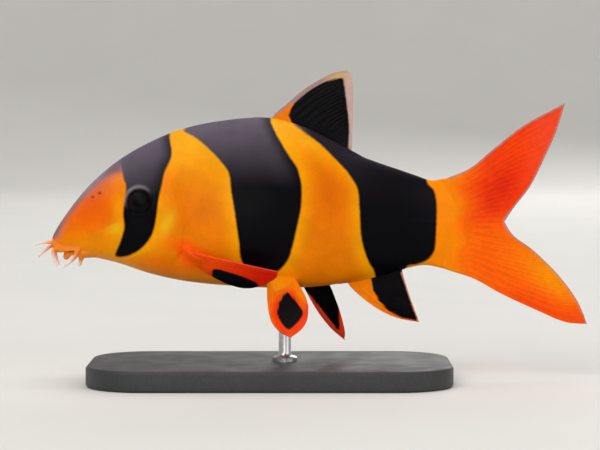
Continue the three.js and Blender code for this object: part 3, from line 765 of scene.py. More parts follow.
def iris_and_pupil():
    """A nearly black eye with a faint brownish ring round the pupil, its own colour, painted brightest above
    and in front as a painted highlight.
    """
    material, tree, shader = new_material("iris_and_pupil", specular_ior_level=0.0, coat_weight=0.0)
    place = place_of(tree)
    reach = reading(tree, "from_pupil").outputs["Fac"]
    fleck = noise(tree, place, 0.3, 4, 0.7)
    ring = maths(tree, "MULTIPLY", step_up(tree, reach, 0.0, 0.06), step_up(tree, reach, 0.34, 0.12))
    ring = maths(tree, "MULTIPLY", ring, step_up(tree, fleck, 0.25, 0.6, 0.3, 0.9))
    # painted highlight: the ring brighter above and in front
    ring = maths(tree, "MULTIPLY", ring, reading(tree, "upper").outputs["Fac"])
    iris = mix(tree, step_up(tree, fleck, 0.35, 0.65), IRIS_DARK, IRIS_FLECK)
    iris = mix(tree, ring, iris, IRIS_RING)
    iris = mix(tree, step_up(tree, reach, 0.72, 0.95), iris, IRIS_RIM)
    colour = mix(tree, step_up(tree, reach, -0.04, 0.01), PUPIL_BLACK, iris)
    connect(tree, shader, base_color=colour, roughness=step_up(tree, fleck, 0.3, 0.7, 0.2, 0.4))
    relief(tree, shader, fleck, 0.03, 0.5)
    return material


def clear_cornea():
    """As it bends light under water, so that it doesn't shine like glass."""
    clear = {"transmission_weight": 1.0, "ior": 1.15, "base_color": (1, 1, 1, 1)}
    material, tree, shader = new_material("clear_cornea", **clear)
    connect(tree, shader, roughness=clouded(tree, place_of(tree), 0.7, 0.01, 0.04))
    return material


def powder_coat():
    material, tree, shader = new_material("powder_coat", coat_weight=0.0)
    place = place_of(tree)
    grain = noise(tree, place, 0.35, 3, 0.6)
    colour = mix(tree, step_up(tree, grain, 0.3, 0.7), tone(38, 38, 40), tone(50, 50, 53))
    connect(tree, shader, base_color=colour, roughness=clouded(tree, place, 6, 0.48, 0.6))
    relief(tree, shader, grain, 0.03, 0.7)
    return material


def turned_steel():
    material, tree, shader = new_material("turned_steel", metallic=1.0)
    lines = noise(tree, place_of(tree, TURNING_LINES), 0.7, 3, 0.6)
    colour = mix(tree, lines, tone(176, 178, 180), tone(212, 213, 214))
    connect(tree, shader, base_color=colour, roughness=step_up(tree, lines, 0.3, 0.7, 0.24, 0.4))
    relief(tree, shader, lines, 0.01, 0.5)
    return material


def studio_paper():
    material, tree, shader = new_material("studio_paper", specular_ior_level=0.2)
    place = place_of(tree)
    colour = mix(tree, noise(tree, place, 60, 2), tone(226, 224, 220), tone(232, 230, 226))
    connect(tree, shader, base_color=colour, roughness=clouded(tree, place, 20, 0.85, 0.95, detail=2))
    return material


# Skin


OUT_OF_REACH = -9.0
FAR_OUTSIDE = -99.0
NO_BLOTCH = -9.0


def horseshoe(lip, steps=41):
    """The line of a lip, from its right corner round the front to its left corner."""
    angle = np.linspace(0, math.pi, steps)
    forward = np.sin(angle)
    x = MOUTH_CORNER[0] - lip["reach"] * forward
    y = lip["half_width"] * np.cos(angle)
    z = blend(MOUTH_CORNER[1], lip["front_z"], forward**2)
    return np.stack([x, y, z], axis=-1)


def reach_of_balls(points, outward, centres, radii):
    """How far out along its own normal each point must move to cover a row of balls."""
    reach = np.full(len(points), OUT_OF_REACH)
    radii = np.asarray(radii, float)
    if radii.ndim < 2:
        radii = np.broadcast_to(radii, len(centres))
    for centre, radius in zip(centres, radii):
        start = (points - centre) / radius
        way = outward / radius
        a = np.einsum("ij,ij->i", way, way)
        b = np.einsum("ij,ij->i", start, way) / a
        c = (np.einsum("ij,ij->i", start, start) - 1) / a
        under = b * b - c
        skirt = np.where(under > 0, np.sqrt(np.maximum(under, 0)), -2 * np.sqrt(np.maximum(-under, 0)))
        reach = np.maximum(reach, skirt - b)
    return reach


def rest_of_body(ring, angle):
    """Where the smooth body lies, from a ring of 0 at the snout to 1 at the tail and an angle round it."""
    crowded = SNOUT_CROWDING * ring + (1 - SNOUT_CROWDING) * ring**5
    d = SKIN_LENGTH * crowded**2
    turned = angle - FLANK_CROWDING * np.sin(2 * angle) / 2
    c = np.cos(turned)
    s = np.sin(turned)
    ending = fade(WEDGE_FROM, SKIN_LENGTH, d)
    power = blend(np.where(s > 0, upper_power(d), lower_power(d)), END_POWER, ending)
    spread = np.sign(c) * np.abs(c) ** (2 / power)
    lift = np.sign(s) * np.abs(s) ** (2 / power)
    top = back(d) - END_DROP * ending
    bottom = belly(d) + END_DROP * ending
    middle = blend(bottom, top, waist(d))
    z = middle + lift * np.where(s > 0, top - middle, middle - bottom)
    wedge = (1 - np.clip((d - WEDGE_FROM) / (SKIN_LENGTH - WEDGE_FROM), 0, 1) ** 2.2) ** 0.85
    y = spread * half_width(d) * wedge
    mid_z = (top + bottom) / 2
    x = SNOUT_X + d - END_BOW * ending * ((z - mid_z) / END_HALF_HEIGHT) ** 2
    return np.stack([x, y, z], axis=-1)


def cover_relief(points):
    """The gill cover swells towards its rear edge, which stands free of the shoulder."""
    x = points[:, 0]
    z = points[:, 2]
    heights = np.array(GILL_EDGE)[::-1]
    edge_x = np.interp(z, heights[:, 0], heights[:, 1])
    window = fade(COVER_LOW_Z, COVER_LOW_Z + COVER_FADE, z)
    window = window * (1 - fade(COVER_HIGH_Z - COVER_FADE, COVER_HIGH_Z, z))
    behind = x - edge_x
    swell = COVER_RISE * fade(COVER_FROM_X, COVER_TO_X, x) * (1 - fade(*COVER_STEP, behind))
    groove = COVER_GROOVE["depth"] * bell(behind - COVER_GROOVE["behind"], COVER_GROOVE["width"])
    return window * (swell - groove)


def eye_relief(points, side):
    """The raised lid and the socket of one eye, and where a highlight is painted on the lid as it catches the
    light.
    """
    centre = on_side(EYE_X, EYE_Z, side)
    axis = outward_at(EYE_X, EYE_Z, side)
    offset = points - centre
    height = offset @ axis
    reach = np.linalg.norm(offset - height[:, None] * axis, axis=1)
    near = points[:, 1] * side > 0
    lid = EYELID["height"] * bell(reach - EYELID["at"], EYELID["width"])
    socket = EYE_SOCKET["depth"] * (1 - fade(EYE_SOCKET["from"], EYE_SOCKET["to"], reach))
    up_and_forward = (offset @ (-0.5, 0, 0.86)) / np.maximum(reach, 0.1)
    glint = near * bell(reach - LID_GLINT["at"], LID_GLINT["width"]) * fade(-0.1, 0.95, up_and_forward)
    return near * (lid - socket), glint


def ring_round(x, z, side, radius, steps=14):
    centre = on_side(x, z, side)
    axis = outward_at(x, z, side)
    across = unit(np.cross(axis, (0, 0, 1)))
    up = np.cross(across, axis)
    angles = np.linspace(0, 2 * math.pi, steps, endpoint=False)
    return centre + radius * (np.outer(np.cos(angles), across) + np.outer(np.sin(angles), up))


PAIRED_ROOTS = (
    (PECTORAL, PECTORALS["left"], {"reach": 0.25, "radii": (1.2, 0.3), "flush": (1.0, 2.8)}),
    (PECTORAL, PECTORALS["right"], {"reach": 0.25, "radii": (1.2, 0.3), "flush": (1.0, 2.8)}),
    (PELVIC, PELVICS["left"], {"reach": 0.28, "radii": (1.3, 0.3), "flush": (0.9, 3.0)}),
    (CLOSED_PELVIC, PELVICS["right"], {"reach": 0.26, "radii": (1.15, 0.3), "flush": (0.9, 3.0)}),
)


def sleeve_of(outline, holds, sleeve):
    """Rows of balls inside the root of a paired fin, which the skin covers as a fleshy sleeve."""
    across, out = np.meshgrid(np.linspace(0.04, 0.96, 13), np.linspace(0, 1, 9))
    out = out.ravel()
    across = 0.5 + (across.ravel() - 0.5) * blend(1, 0.6, out)
    centres = paired_surface(outline, holds)(across, out * sleeve["reach"], np.zeros(len(out)))
    thick, thin = sleeve["radii"]
    return {"centres": centres, "radii": blend(thick, thin, out)}


def nearest_of(points, centres):
    away = np.full(len(points), np.inf)
    for centre in centres:
        away = np.minimum(away, np.linalg.norm(points - centre, axis=1))
    return away


def foot_share(points):
    """The part of a barbel's length that stands inside the flesh of the lip."""
    whole = np.linalg.norm(np.diff(curve_points(points), axis=0), axis=1).sum()
    return np.linalg.norm(np.subtract(points[1], points[0])) / whole


def raise_mouth(raise_balls, mirrored, head):
    """Raises lips, chin, snout, feet of the barbels and nostril rims, and tells where the lips are."""
    lips = np.zeros(len(mirrored))
    folds = np.linspace(0, math.pi, 41)
    for lip in (UPPER_LIP, LOWER_LIP):
        radius = lip["radius"] * blend(LIP_CORNER, 1, np.sin(folds)) * (1 + 0.05 * np.cos(folds * 22))
        line = horseshoe(lip)
        raise_balls(line, radius, head, 0.35)
        near = distance_to_line(mirrored[head], line)
        lips[head] = np.maximum(lips[head], 1 - fade(0.8, 1.9, near))
    raise_balls(np.array([CHIN["centre"]], float), np.array([CHIN["radii"]], float), head, 0.5)
    raise_balls(np.array(SNOUT_PAD["centres"]), SNOUT_PAD["radius"], head, 0.5)
    for barbel in BARBELS.values():
        foot = curve_points(barbel[:2], 8)
        foot_end = FOOT_ENDS * blend(BARBEL_ROOT, BARBEL_TIP, foot_share(barbel))
        raise_balls(foot, np.linspace(FOOT_RADIUS, foot_end, len(foot)), head, 0.5)
        near = distance_to_line(mirrored[head], foot)
        lips[head] = np.maximum(lips[head], 1 - fade(0.7, 1.5, near))
    for x, z, radius in NOSTRILS:
        raise_balls(ring_round(x, z, -1, radius + 0.16), NOSTRIL_RIM, head, 0.25)
    return lips


def raise_midline_roots(raise_balls, points):
    """Raises the flesh along the roots of the dorsal and anal fins."""
    x = points[:, 0]
    z = points[:, 2]
    at = np.linspace(DORSAL["from"] - 2.5, DORSAL["to"] + 3, 60)
    size = 1.4 * fade(at[0] - 1, at[0] + 6, at) * fade(at[-1] + 1, at[-1] - 4, at) + 0.15
    row = np.stack([at, 0 * at, back(at - SNOUT_X) - 0.72 * size], axis=-1)
    raise_balls(row, size, (x > -6) & (x < 24) & (z > 50), 1.0)
    at = np.linspace(ANAL["from"] - 1, ANAL["to"] + 1, 30)
    size = 1.05 * fade(at[0], at[0] + 4, at) * fade(at[-1], at[-1] - 5, at) + 0.3
    row = np.stack([at, 0 * at, belly(at - SNOUT_X) + 0.72 * size], axis=-1)
    raise_balls(row, size, (x > 12) & (x < 38) & (z < 34), 1.0)


def raise_paired_roots(raise_balls, points, mirrored):
    """Raises the sleeves of the paired fins, and tells how near each point is to one."""
    flush = np.zeros(len(points))
    on_left = points[:, 1] < 0
    for outline, holds, sleeve in PAIRED_ROOTS:
        row = sleeve_of(outline, holds, sleeve)
        centres = row["centres"] * [1, -holds["side"], 1]
        on_side_of_fin = on_left == (holds["side"] < 0)
        near = (np.abs(points[:, 0] - holds["x"]) < 12) & (points[:, 2] < 40) & on_side_of_fin
        raise_balls(centres, row["radii"], near, 0.9)
        away = nearest_of(mirrored[near], centres)
        flush[near] = np.maximum(flush[near], 1 - fade(*sleeve["flush"], away))
    return flush


def carve_mouth(height, mirrored, head):
    slit = distance_to_line(mirrored[head], horseshoe(MOUTH_SLIT))
    mouth = np.zeros(len(height))
    mouth[head] = bell(slit, MOUTH_SLIT["width"])
    height -= MOUTH_SLIT["depth"] * mouth
    return mouth


def carve_sides(height, points, head):
    """The groove below the eye, the ridge of the cheek, the gill cover and the line along the flank."""
    side_view = points[:, [0, 2]]
    x = points[head, 0]
    fold = curve_points(CHEEK_GROOVE, 12)
    ends = fade(-42.6, -39.4, x) * (1 - fade(-37.6, -35.8, x))
    depth, width = GROOVE_SIZE
    height[head] -= depth * ends * bell(distance_to_line(side_view[head], fold), width)
    rise, width = GROOVE_LIP
    height[head] += rise * ends * bell(distance_to_line(side_view[head], fold - [0.1, 0.75]), width)
    rise, width = RIDGE_SIZE
    height[head] += rise * bell(distance_to_line(side_view[head], curve_points(CHEEK_RIDGE, 12)), width)
    height += cover_relief(points)
    rise, width = LINE_SIZE
    height += rise * bell(distance_to_line(side_view, curve_points(LATERAL_LINE, 16)), width)


def carve_eyes_and_nostrils(height, points):
    nostrils = np.zeros(len(points))
    glints = np.zeros(len(points))
    for side in (-1, 1):
        eye_height, glint = eye_relief(points, side)
        height += eye_height
        glints = np.maximum(glints, glint)
        for x, z, radius in NOSTRILS:
            away = np.linalg.norm(points - on_side(x, z, side), axis=1)
            height -= NOSTRIL_DEPTH * bell(away, radius * 0.72)
            nostrils = np.maximum(nostrils, bell(away, radius * 0.75))
    return nostrils, glints


def skin_relief(points, outward):
    """The height of the skin over the smooth body, and how near each point is to its soft parts."""
    on_left = points[:, 1] < 0
    mirrored = points.copy()
    mirrored[:, 1] = -np.abs(points[:, 1])
    turned = outward.copy()
    turned[:, 1] = np.where(on_left, outward[:, 1], -outward[:, 1])
    head = points[:, 0] < HEAD_TO_X
    raised = np.full(len(points), OUT_OF_REACH)

    def raise_balls(centres, radii, where, softness):
        reach = reach_of_balls(mirrored[where], turned[where], centres, radii)
        raised[where] = soft_max(raised[where], reach, softness)

    lips = raise_mouth(raise_balls, mirrored, head)
    raise_midline_roots(raise_balls, points)
    fins = raise_paired_roots(raise_balls, points, mirrored)
    height = soft_max(np.zeros(len(points)), raised, 0.45)
    mouth = carve_mouth(height, mirrored, head)
    carve_sides(height, points, head)
    nostrils, lid = carve_eyes_and_nostrils(height, points)
    return height, {"mouth": mouth, "lips": lips, "nostrils": nostrils, "fins": fins, "lid": lid}


def first_coat(colour, points):
    return np.tile(colour, (len(points), 1))


def wash(colours, new, amount):
    """Sprays a new colour over the old, by an amount from 0 to 1 at each point."""
    return blend(colours, new, np.clip(amount, 0, 1)[:, None])


def spot(places, pixel, reach, tilt=0.0):
    """The spread of a sprayed spot, by its pixel, two reaches in millimetres and lean in degrees."""
    offset = places - from_pixels([pixel])[0]
    lean = math.radians(tilt)
    along = offset[:, 0] * math.cos(lean) + offset[:, 1] * math.sin(lean)
    up = -offset[:, 0] * math.sin(lean) + offset[:, 1] * math.cos(lean)
    return np.exp(-((along / reach[0]) ** 2) - (up / reach[1]) ** 2)


# Spots of colour on the skin, a painted shade and a painted highlight among them: colour, pixel, two reaches
# in millimetres, lean in degrees and strength

GROUND_SPOTS = (
    (BRIGHT_GOLD, (188, 142), (5, 5), 0, 0.95),
    (GOLD, (205, 160), (8, 6), -35, 0.7),
    # painted shade in the gill opening behind the cover
    (DEEP_ORANGE, (195, 214), (5.5, 5), 0, 0.4),
    (BRIGHT_GOLD, (284, 130), (3.4, 10), 62, 0.6),
    (DEEP_ORANGE, (330, 198), (5.5, 9), 0, 0.8),
    (FACE_ORANGE, (95, 205), (13, 9), 45, 0.95),
    (CHEEK_RED, (88, 208), (6, 4), 50, 0.6),
    (CHEEK_RED, (112, 212), (4, 2.6), 60, 0.4),
    (CHEEK_RED, (166, 184), (2.2, 4), 0, 0.4),
    (GOLD, (118, 210), (1.8, 5.5), 0, 0.6),
    (GOLD, (86, 246), (11, 3.4), 8, 0.5),
    (LEMON, (115, 229), (2.2, 1.4), 20, 0.8),
    # painted highlight along the rear edge of the gill cover
    (LEMON, (167, 224), (1.5, 3.6), -22, 0.85),
    (ROSE, (103, 181), (6, 2.2), 42, 0.6),
    (BLOOD_ORANGE, (184, 247), (5, 1.6), -18, 0.5),
    (BLOOD_ORANGE, (162, 268), (9, 2), -10, 0.35),
)


def in_upper_lobe(side_view):
    return fade(34.5, 42, side_view[:, 1])


def tail_washes(ground, side_view):
    """Gold at the root of the tail, then orange, and red from the middle of the upper lobe."""
    rearwards = side_view[:, 0] + 0.9 * np.sin(0.7 * side_view[:, 1])
    upper = in_upper_lobe(side_view)
    ground = wash(ground, FIN_GOLD, fade(35, 40, side_view[:, 0]))
    ground = wash(ground, FIN_ORANGE, fade(43.8, 48.2, rearwards))
    ground = wash(ground, FIN_RED, upper * 0.9 * fade(45, 53, rearwards))
    return wash(ground, BLOOD_ORANGE, (1 - upper) * 0.6 * fade(46, 54, rearwards))


def painted_band_sheen(places, x, up):
    """Painted sheen: violet grey painted high on the black bands, where the top light falls, fainter behind
    the shoulder and along their rears.
    """
    sheen_from = blend(0.5, 0.6, fade(-36, -20, x))
    sheen = np.clip((up - sheen_from) / (1 - sheen_from), 0, 1) ** 1.25
    sheen = sheen * blend(0.92, 0.14, fade(1, 11, x)) * blend(1, 0.3, fade(16, 30, x))
    for rear in BAND_REARS:
        from_rear = distance_to_line(places, from_pixels(curve_points(rear, 4)))
        sheen = sheen * blend(0.3, 1, fade(0.2, 3.2, from_rear))
    return sheen


def depth_in_marking(places, pixels):
    return depth_inside(places, from_pixels(curve_points(pixels, 4, True)))


def skin_colours(points):
    """The ground colour, the colour of the bands with their painted sheen, and how deep each point lies in a
    band.
    """
    places = as_photographed(points)
    x = points[:, 0]
    band_depth = np.full(len(points), FAR_OUTSIDE)
    for outline in (EYE_BAND, SHOULDER_BAND, TAIL_BAND):
        band_depth = np.maximum(band_depth, depth_in_marking(places, outline))
    d = x - SNOUT_X
    up = (points[:, 2] - belly(d)) / (back(d) - belly(d) + 0.01)
    ground = first_coat(ORANGE, points)
    ground = wash(ground, GOLD, bell(np.minimum(band_depth, 0), 2.6))
    for colour, pixel, reach, tilt, strength in GROUND_SPOTS:
        ground = wash(ground, colour, strength * spot(places, pixel, reach, tilt))
    ground = wash(ground, THROAT, 0.55 * (1 - fade(0.0, 0.13, up)) * (1 - fade(-30, 10, x)))
    ground = tail_washes(ground, points[:, [0, 2]])
    streak = depth_in_marking(places, SNOUT_STREAK)
    ground = wash(ground, ROSE, 0.55 * fade(-1.6, 0.2, streak))
    ground = wash(ground, VIOLET_GREY, 0.9 * fade(-0.5, 1.0, streak))
    # painted highlight: light grey painted along the top edge of the snout, where light catches it
    ground = wash(ground, SNOUT_EDGE_HIGHLIGHT, 0.55 * fade(0.86, 1.0, up) * (1 - fade(-42, -37, x)))
    # the bands' black, with a painted sheen of violet grey high up standing in for the top light
    band_black_and_sheen = wash(first_coat(BLACK, points), VIOLET_GREY, painted_band_sheen(places, x, up))
    return ground, band_black_and_sheen, band_depth


def skin_mesh():
    """A flat net rolled up round the fish, joined at the snout in one point and at the tail along a line."""
    bm = bmesh.new()
    bmesh.ops.create_grid(bm, x_segments=SKIN_SIDES, y_segments=SKIN_RINGS, size=0.5)
    mesh = mesh_from(bm, "skin")
    net = points_of(mesh) + 0.5
    move_points(mesh, rest_of_body(net[:, 1], 2 * math.pi * net[:, 0]))
    tidy_mesh(mesh)
    return mesh


def smooth_head(mesh, rounds):
    bm = bmesh.new()
    bm.from_mesh(mesh)
    face = [vert for vert in bm.verts if vert.co.x < SMOOTHED_TO_X]
    for _ in range(rounds):
        bmesh.ops.smooth_vert(bm, verts=face, factor=0.5, use_axis_x=True, use_axis_y=True, use_axis_z=True)
    bm.to_mesh(mesh)
    bm.free()


def make_skin(material):
    mesh = skin_mesh()
    smooth = points_of(mesh)
    outward = outward_of(mesh)
    height, near = skin_relief(smooth, outward)
    move_points(mesh, smooth + outward * height[:, None])
    smooth_head(mesh, 1)
    ground, band_black_and_sheen, band_depth = skin_colours(smooth)
    ground = wash(ground, LIP_ORANGE, 0.85 * near["lips"])
    red_above = blend(0.25, 0.9, fade(27.4, 30.4, smooth[:, 2]))
    ground = wash(ground, BLOOD_ORANGE, red_above * near["fins"] * (smooth[:, 0] < -8))
    ground = wash(ground, FIN_GOLD, 0.6 * near["fins"] * (smooth[:, 0] > -8))
    # painted shade inside the mouth's slit
    ground = wash(ground, MOUTH_SHADE, 0.9 * fade(0.35, 0.9, near["mouth"]))
    # painted shade in the nostril pits
    ground = wash(ground, NOSTRIL_SHADE, 0.55 * fade(0.3, 0.9, near["nostrils"]))
    # painted highlight: the upper front arc of the eyelid painted light grey
    band_black_and_sheen = wash(band_black_and_sheen, LID_GLINT_GREY, 0.8 * near["lid"])
    write_colours(mesh, "ground", ground)
    write_colours(mesh, "band_black_and_sheen", band_black_and_sheen)
    write_values(mesh, "band_depth", band_depth)
    return piece(mesh, material, ("head", "trunk", "tail_stalk"))


# Fins


def patch(root, lead, edge, trail):
    """Fills the space between a fin's edges, from its leading edge to its last ray and from root to edge."""

    def surface(u, v):
        u = u[:, None]
        v = v[:, None]
        ends = np.array([0.0, 1.0])
        corners = np.vstack([root(ends), edge(ends)])
        point = root(u[:, 0]) * (1 - v) + edge(u[:, 0]) * v + lead(v[:, 0]) * (1 - u) + trail(v[:, 0]) * u
        point = point - corners[0] * (1 - u) * (1 - v) - corners[1] * u * (1 - v)
        return point - corners[2] * (1 - u) * v - corners[3] * u * v

    return surface


def straight(start, end):
    start = np.asarray(start, float)
    end = np.asarray(end, float)
    return lambda t: start + (end - start) * np.asarray(t)[:, None]


def midline_fin(fin, line, sink):
    def root(t):
        x = blend(fin["from"], fin["to"], t)
        return np.stack([x, line(x - SNOUT_X) + sink], axis=-1)

    ends = root(np.array([0.0, 1.0]))
    edge = even_curve(fin["edge"])
    lead = even_curve([ends[0], *fin["lead"]])
    return patch(root, lead, edge, straight(ends[1], fin["edge"][-1]))


def tail_half(lobe):
    start_x, start_z = lobe["lead"][0]

    def root(t):
        x = blend(TAIL_MIDDLE[0], start_x, (1 - t) ** 2) - ROOT_SINK
        z = blend(start_z, TAIL_MIDDLE[1], t)
        return np.stack([x, blend(z, TAIL_MIDDLE[1], TAIL_ROOT_TUCK * (1 - t))], axis=-1)

    ends = root(np.array([0.0, 1.0]))
    edge = even_curve([*lobe["edge"], FORK])
    lead = even_curve([ends[0], *lobe["lead"]])
    return patch(root, lead, edge, straight(ends[1], FORK))


def tail_surface():
    """Both lobes side by side: across 0 to 0.5 is the upper from its leading edge, the rest the lower."""
    upper = tail_half(UPPER_LOBE)
    lower = tail_half(LOWER_LOBE)

    def surface(u, v):
        from_top = np.clip(2 * u, 0, 1)
        from_bottom = np.clip(2 - 2 * u, 0, 1)
        return np.where((u <= 0.5)[:, None], upper(from_top, v), lower(from_bottom, v))

    return surface


def ray_ridges(u, v, rays):
    """Rays that fork twice on their way out, as 1 on a ray's crest and 0 in the web between two."""
    cell = u * (rays - 1) + 0.5
    index = np.floor(cell)
    jitter = 0.05 * np.sin(2.4 * index)
    outermost = (index < 1) | (index > rays - 2)
    first = np.where(outermost, 0, 0.25 * fade(*FIRST_FORK, v + jitter))
    second = np.where(outermost, 0, 0.125 * fade(*SECOND_FORK, v - jitter))
    off_crest = np.abs(np.abs(np.abs(cell - index - 0.5) - first) - second)
    return bell(off_crest, blend(*RAY_WIDTH, v))


def fin_mesh(name, surface, rays, per_ray, rows, stout=0.75, wave=(0.35, 1.3, 0.4)):
    """A closed web with its rays raised on both faces. The surface gives the middle of the web."""
    columns = (rays - 1) * per_ray
    bm = bmesh.new()
    bmesh.ops.create_grid(bm, x_segments=columns, y_segments=rows, size=0.5)
    bmesh.ops.solidify(bm, geom=bm.faces[:], thickness=1.0)
    mesh = mesh_from(bm, name)
    flat = points_of(mesh)
    u = np.clip(flat[:, 0] + 0.5, 0, 1)
    v = np.clip(flat[:, 1] + 0.5, 0, 1)
    face = np.where(np.abs(flat[:, 2]) > 0.5, -1.0, 1.0)
    tip = surface(u, np.ones_like(u), 0 * u)
    length = np.linalg.norm(tip - surface(u, np.zeros_like(u), 0 * u), axis=1)
    ridge = ray_ridges(u, v, rays) * fade(3.2, 8, v * length)
    at_edge = ray_ridges(u, np.ones_like(u), rays)
    reach = v * (1 - NOTCH / np.maximum(length, 4) * (1 - at_edge) * fade(0.8, 1, v))
    amplitude, turns, phase = wave

    def middle(a, b):
        return surface(a, b, amplitude * b * b * np.sin(2 * math.pi * (turns * a + phase)))

    step = 0.002
    across = middle(np.minimum(u + step, 1), reach) - middle(np.maximum(u - step, 0), reach)
    along = middle(u, np.minimum(reach + step, 1)) - middle(u, np.maximum(reach - step, 0))
    normal = unit(np.cross(across, along))
    web = blend(*WEB_HALF, v)
    lead_ray = LEAD_RAY * bell(u, 0.02)
    crest = blend(*RAY_CREST, v) * ridge
    root = (stout - 0.2) * (1 - fade(0, 0.34, v)) * blend(0.45, 1, fade(0, 0.2, u))
    rim_u = np.clip(np.minimum(u, 1 - u) * columns / 2, 0, 1)
    rim_v = np.clip((1 - v) * rows / 2, 0, 1)
    rim = blend(RIM_THINNED, 1, np.minimum(rim_u, rim_v))
    half = (web + crest + lead_ray + root) * rim
    place = middle(u, reach) + normal * (face * half)[:, None]
    move_points(mesh, place)
    write_uv(mesh, "web", u * (rays - 1), v * length)
    write_values(mesh, "ray", ridge)
    return mesh, u, v


def finish_fin(mesh, ground, blotch_depth, material, replaces):
    write_colours(mesh, "ground", ground)
    write_values(mesh, "blotch_depth", blotch_depth)
    tidy_mesh(mesh, 0.0002)
    return piece(mesh, material, replaces)


def upright(flat):
    """Stands a surface drawn from the side on the fish's mid-plane, with its wave sideways."""

    def surface(u, v, wave):
        place = flat(u, v)
        return np.stack([place[:, 0], wave, place[:, 1]], axis=-1)

    return surface


def make_dorsal(material):
    surface = upright(midline_fin(DORSAL, back, -ROOT_SINK))
    mesh, u, _ = fin_mesh("dorsal_fin", surface, DORSAL["rays"], 12, 130)
    side_view = side_view_of(mesh)
    lead = curve_points([(DORSAL["from"] - 1, 63), *DORSAL["lead"]], 12)
    edge = curve_points(DORSAL["edge"], 12)
    from_lead = distance_to_line(side_view, lead)
    from_edge = distance_to_line(side_view, edge)
    x, z = side_view.T
    front_x, front_z = DORSAL_BLACK["front"]
    lead_rim = DORSAL_BLACK["lead_rim"] + DORSAL_BLACK["lead_rim_more"] * fade(11, 18, x)
    edge_rim = blend(*DORSAL_BLACK["edge_rim"], fade(59, 76, z))
    from_front = x - front_x - DORSAL_BLACK["lean"] * np.abs(z - front_z)
    black = np.minimum(np.minimum(from_lead - lead_rim, from_edge - edge_rim), from_front)
    ground = first_coat(FIN_RIM, u)
    ground = wash(ground, PALE_RIM, fade(17.6, 18.8, x))
    ground = wash(ground, HORN, 0.85 * spot(side_view, (338, 76), (3.2, 1.7), 15))
    low_front = (1 - fade(66.4, 69, z)) * (1 - fade(5.5, 7.5, x)) * fade(0.2, 0.75, from_lead)
    ground = wash(ground, ORANGE, low_front)
    return finish_fin(mesh, ground, black, material, ("fin_dorsal",))


def make_anal(material):
    surface = upright(midline_fin(ANAL, belly, ROOT_SINK))
    mesh, u, v = fin_mesh("anal_fin", surface, ANAL["rays"], 14, 90)
    side_view = side_view_of(mesh)
    black = depth_inside(side_view, from_pixels(ANAL_BLACK))
    from_edge = distance_to_line(side_view, curve_points(ANAL["edge"], 12))
    black = np.minimum(black, from_edge - 0.25)
    ground = first_coat(FIN_GOLD, u)
    ground = wash(ground, FIN_ORANGE, 0.8 * fade(0.2, 0.9, v))
    ground = wash(ground, PALE_RIM, 0.6 * (1 - fade(0.2, 0.7, from_edge)))
    return finish_fin(mesh, ground, black, material, ("fin_anal",))


def make_tail(material):
    mesh, u, _ = fin_mesh("tail_fin", upright(tail_surface()), TAIL_RAYS, 11, 170, 0.7, (0.5, 1.6, 0.1))
    side_view = side_view_of(mesh)
    upper = in_upper_lobe(side_view)
    ground = tail_washes(first_coat(FIN_GOLD, u), side_view)
    ground = wash(ground, FIN_CRIMSON, 0.7 * spot(side_view, (503, 188), (4, 7), -35))
    ground = wash(ground, FIN_PINK, upper * 0.5 * fade(60, 68, side_view[:, 0]))
    ground = wash(ground, GOLD, 0.75 * spot(side_view, (551, 276), (10, 3.6), -38))
    ground = wash(ground, FIN_ORANGE, 0.5 * spot(side_view, (515, 262), (6, 4), -30))
    ground = wash(ground, FIN_RED, 0.5 * fade(0.88, 0.97, u) * fade(55, 62, side_view[:, 0]))
    edge = curve_points([*UPPER_LOBE["edge"], FORK, *LOWER_LOBE["edge"][::-1]], 10)
    from_edge = distance_to_line(side_view, edge)
    from_top = distance_to_line(side_view, curve_points(UPPER_LOBE["lead"], 10))
    ground = wash(ground, FIN_RIM, 0.75 * (1 - fade(0.15, 0.65, from_edge)))
    ground = wash(ground, FIN_RIM, 0.7 * (1 - fade(0.15, 0.7, from_top)))
    black = np.full(len(u), NO_BLOTCH)
    return finish_fin(mesh, ground, black, material, ("fin_tail_upper", "fin_tail_lower"))


def flat_fin(outline):
    """A paired fin spread flat, as the distance along it and across it."""
    return patch(*[even_curve(outline[name]) for name in ("root", "lead", "edge", "trail")])


def blotch_on(outline, u, v):
    return depth_inside(flat_fin(outline)(u, v), curve_points(outline["blotch"], 6, True))


def paired_surface(outline, holds):
    """A fin on the fish's side, drawn flat and turned to run along and across the way that it is held."""
    along = unit(np.array(holds["along"], float))
    across = np.array(holds["across"], float)
    across = unit(across - along * (across @ along))
    lift = np.cross(along, across)
    root = on_side(holds["x"], holds["z"], holds["side"])
    flat = flat_fin(outline)

    def surface(u, v, wave):
        place = flat(u, v)
        tuck = ROOT_TUCK * np.maximum(TUCK_TO - place[:, 0], 0) ** 2
        bow = wave - holds["side"] * (CAMBER * place[:, 0] ** 2 + tuck)
        return root + place[:, :1] * along + place[:, 1:] * across + bow[:, None] * lift

    return surface


def make_pectoral(side, material):
    name = f"pectoral_fin_{side}"
    surface = paired_surface(PECTORAL, PECTORALS[side])
    mesh, u, v = fin_mesh(name, surface, PECTORAL["rays"], 10, 100, 0.8, (0.3, 1.0, 0.2))
    ground = first_coat(BLOOD_ORANGE, u)
    ground = wash(ground, FIN_RED, fade(0.25, 0.65, v))
    ground = wash(ground, FIN_CRIMSON, 0.85 * fade(0.5, 0.95, v))
    ground = wash(ground, FIN_ORANGE, 0.8 * fade(0.75, 1.0, u) * (1 - fade(0.3, 0.6, v)))
    ground = wash(ground, FIN_PINK, 0.4 * (1 - fade(0.0, 0.08, u)))
    black = blotch_on(PECTORAL, u, v)
    return finish_fin(mesh, ground, black, material, (f"fin_pectoral_{side}",))


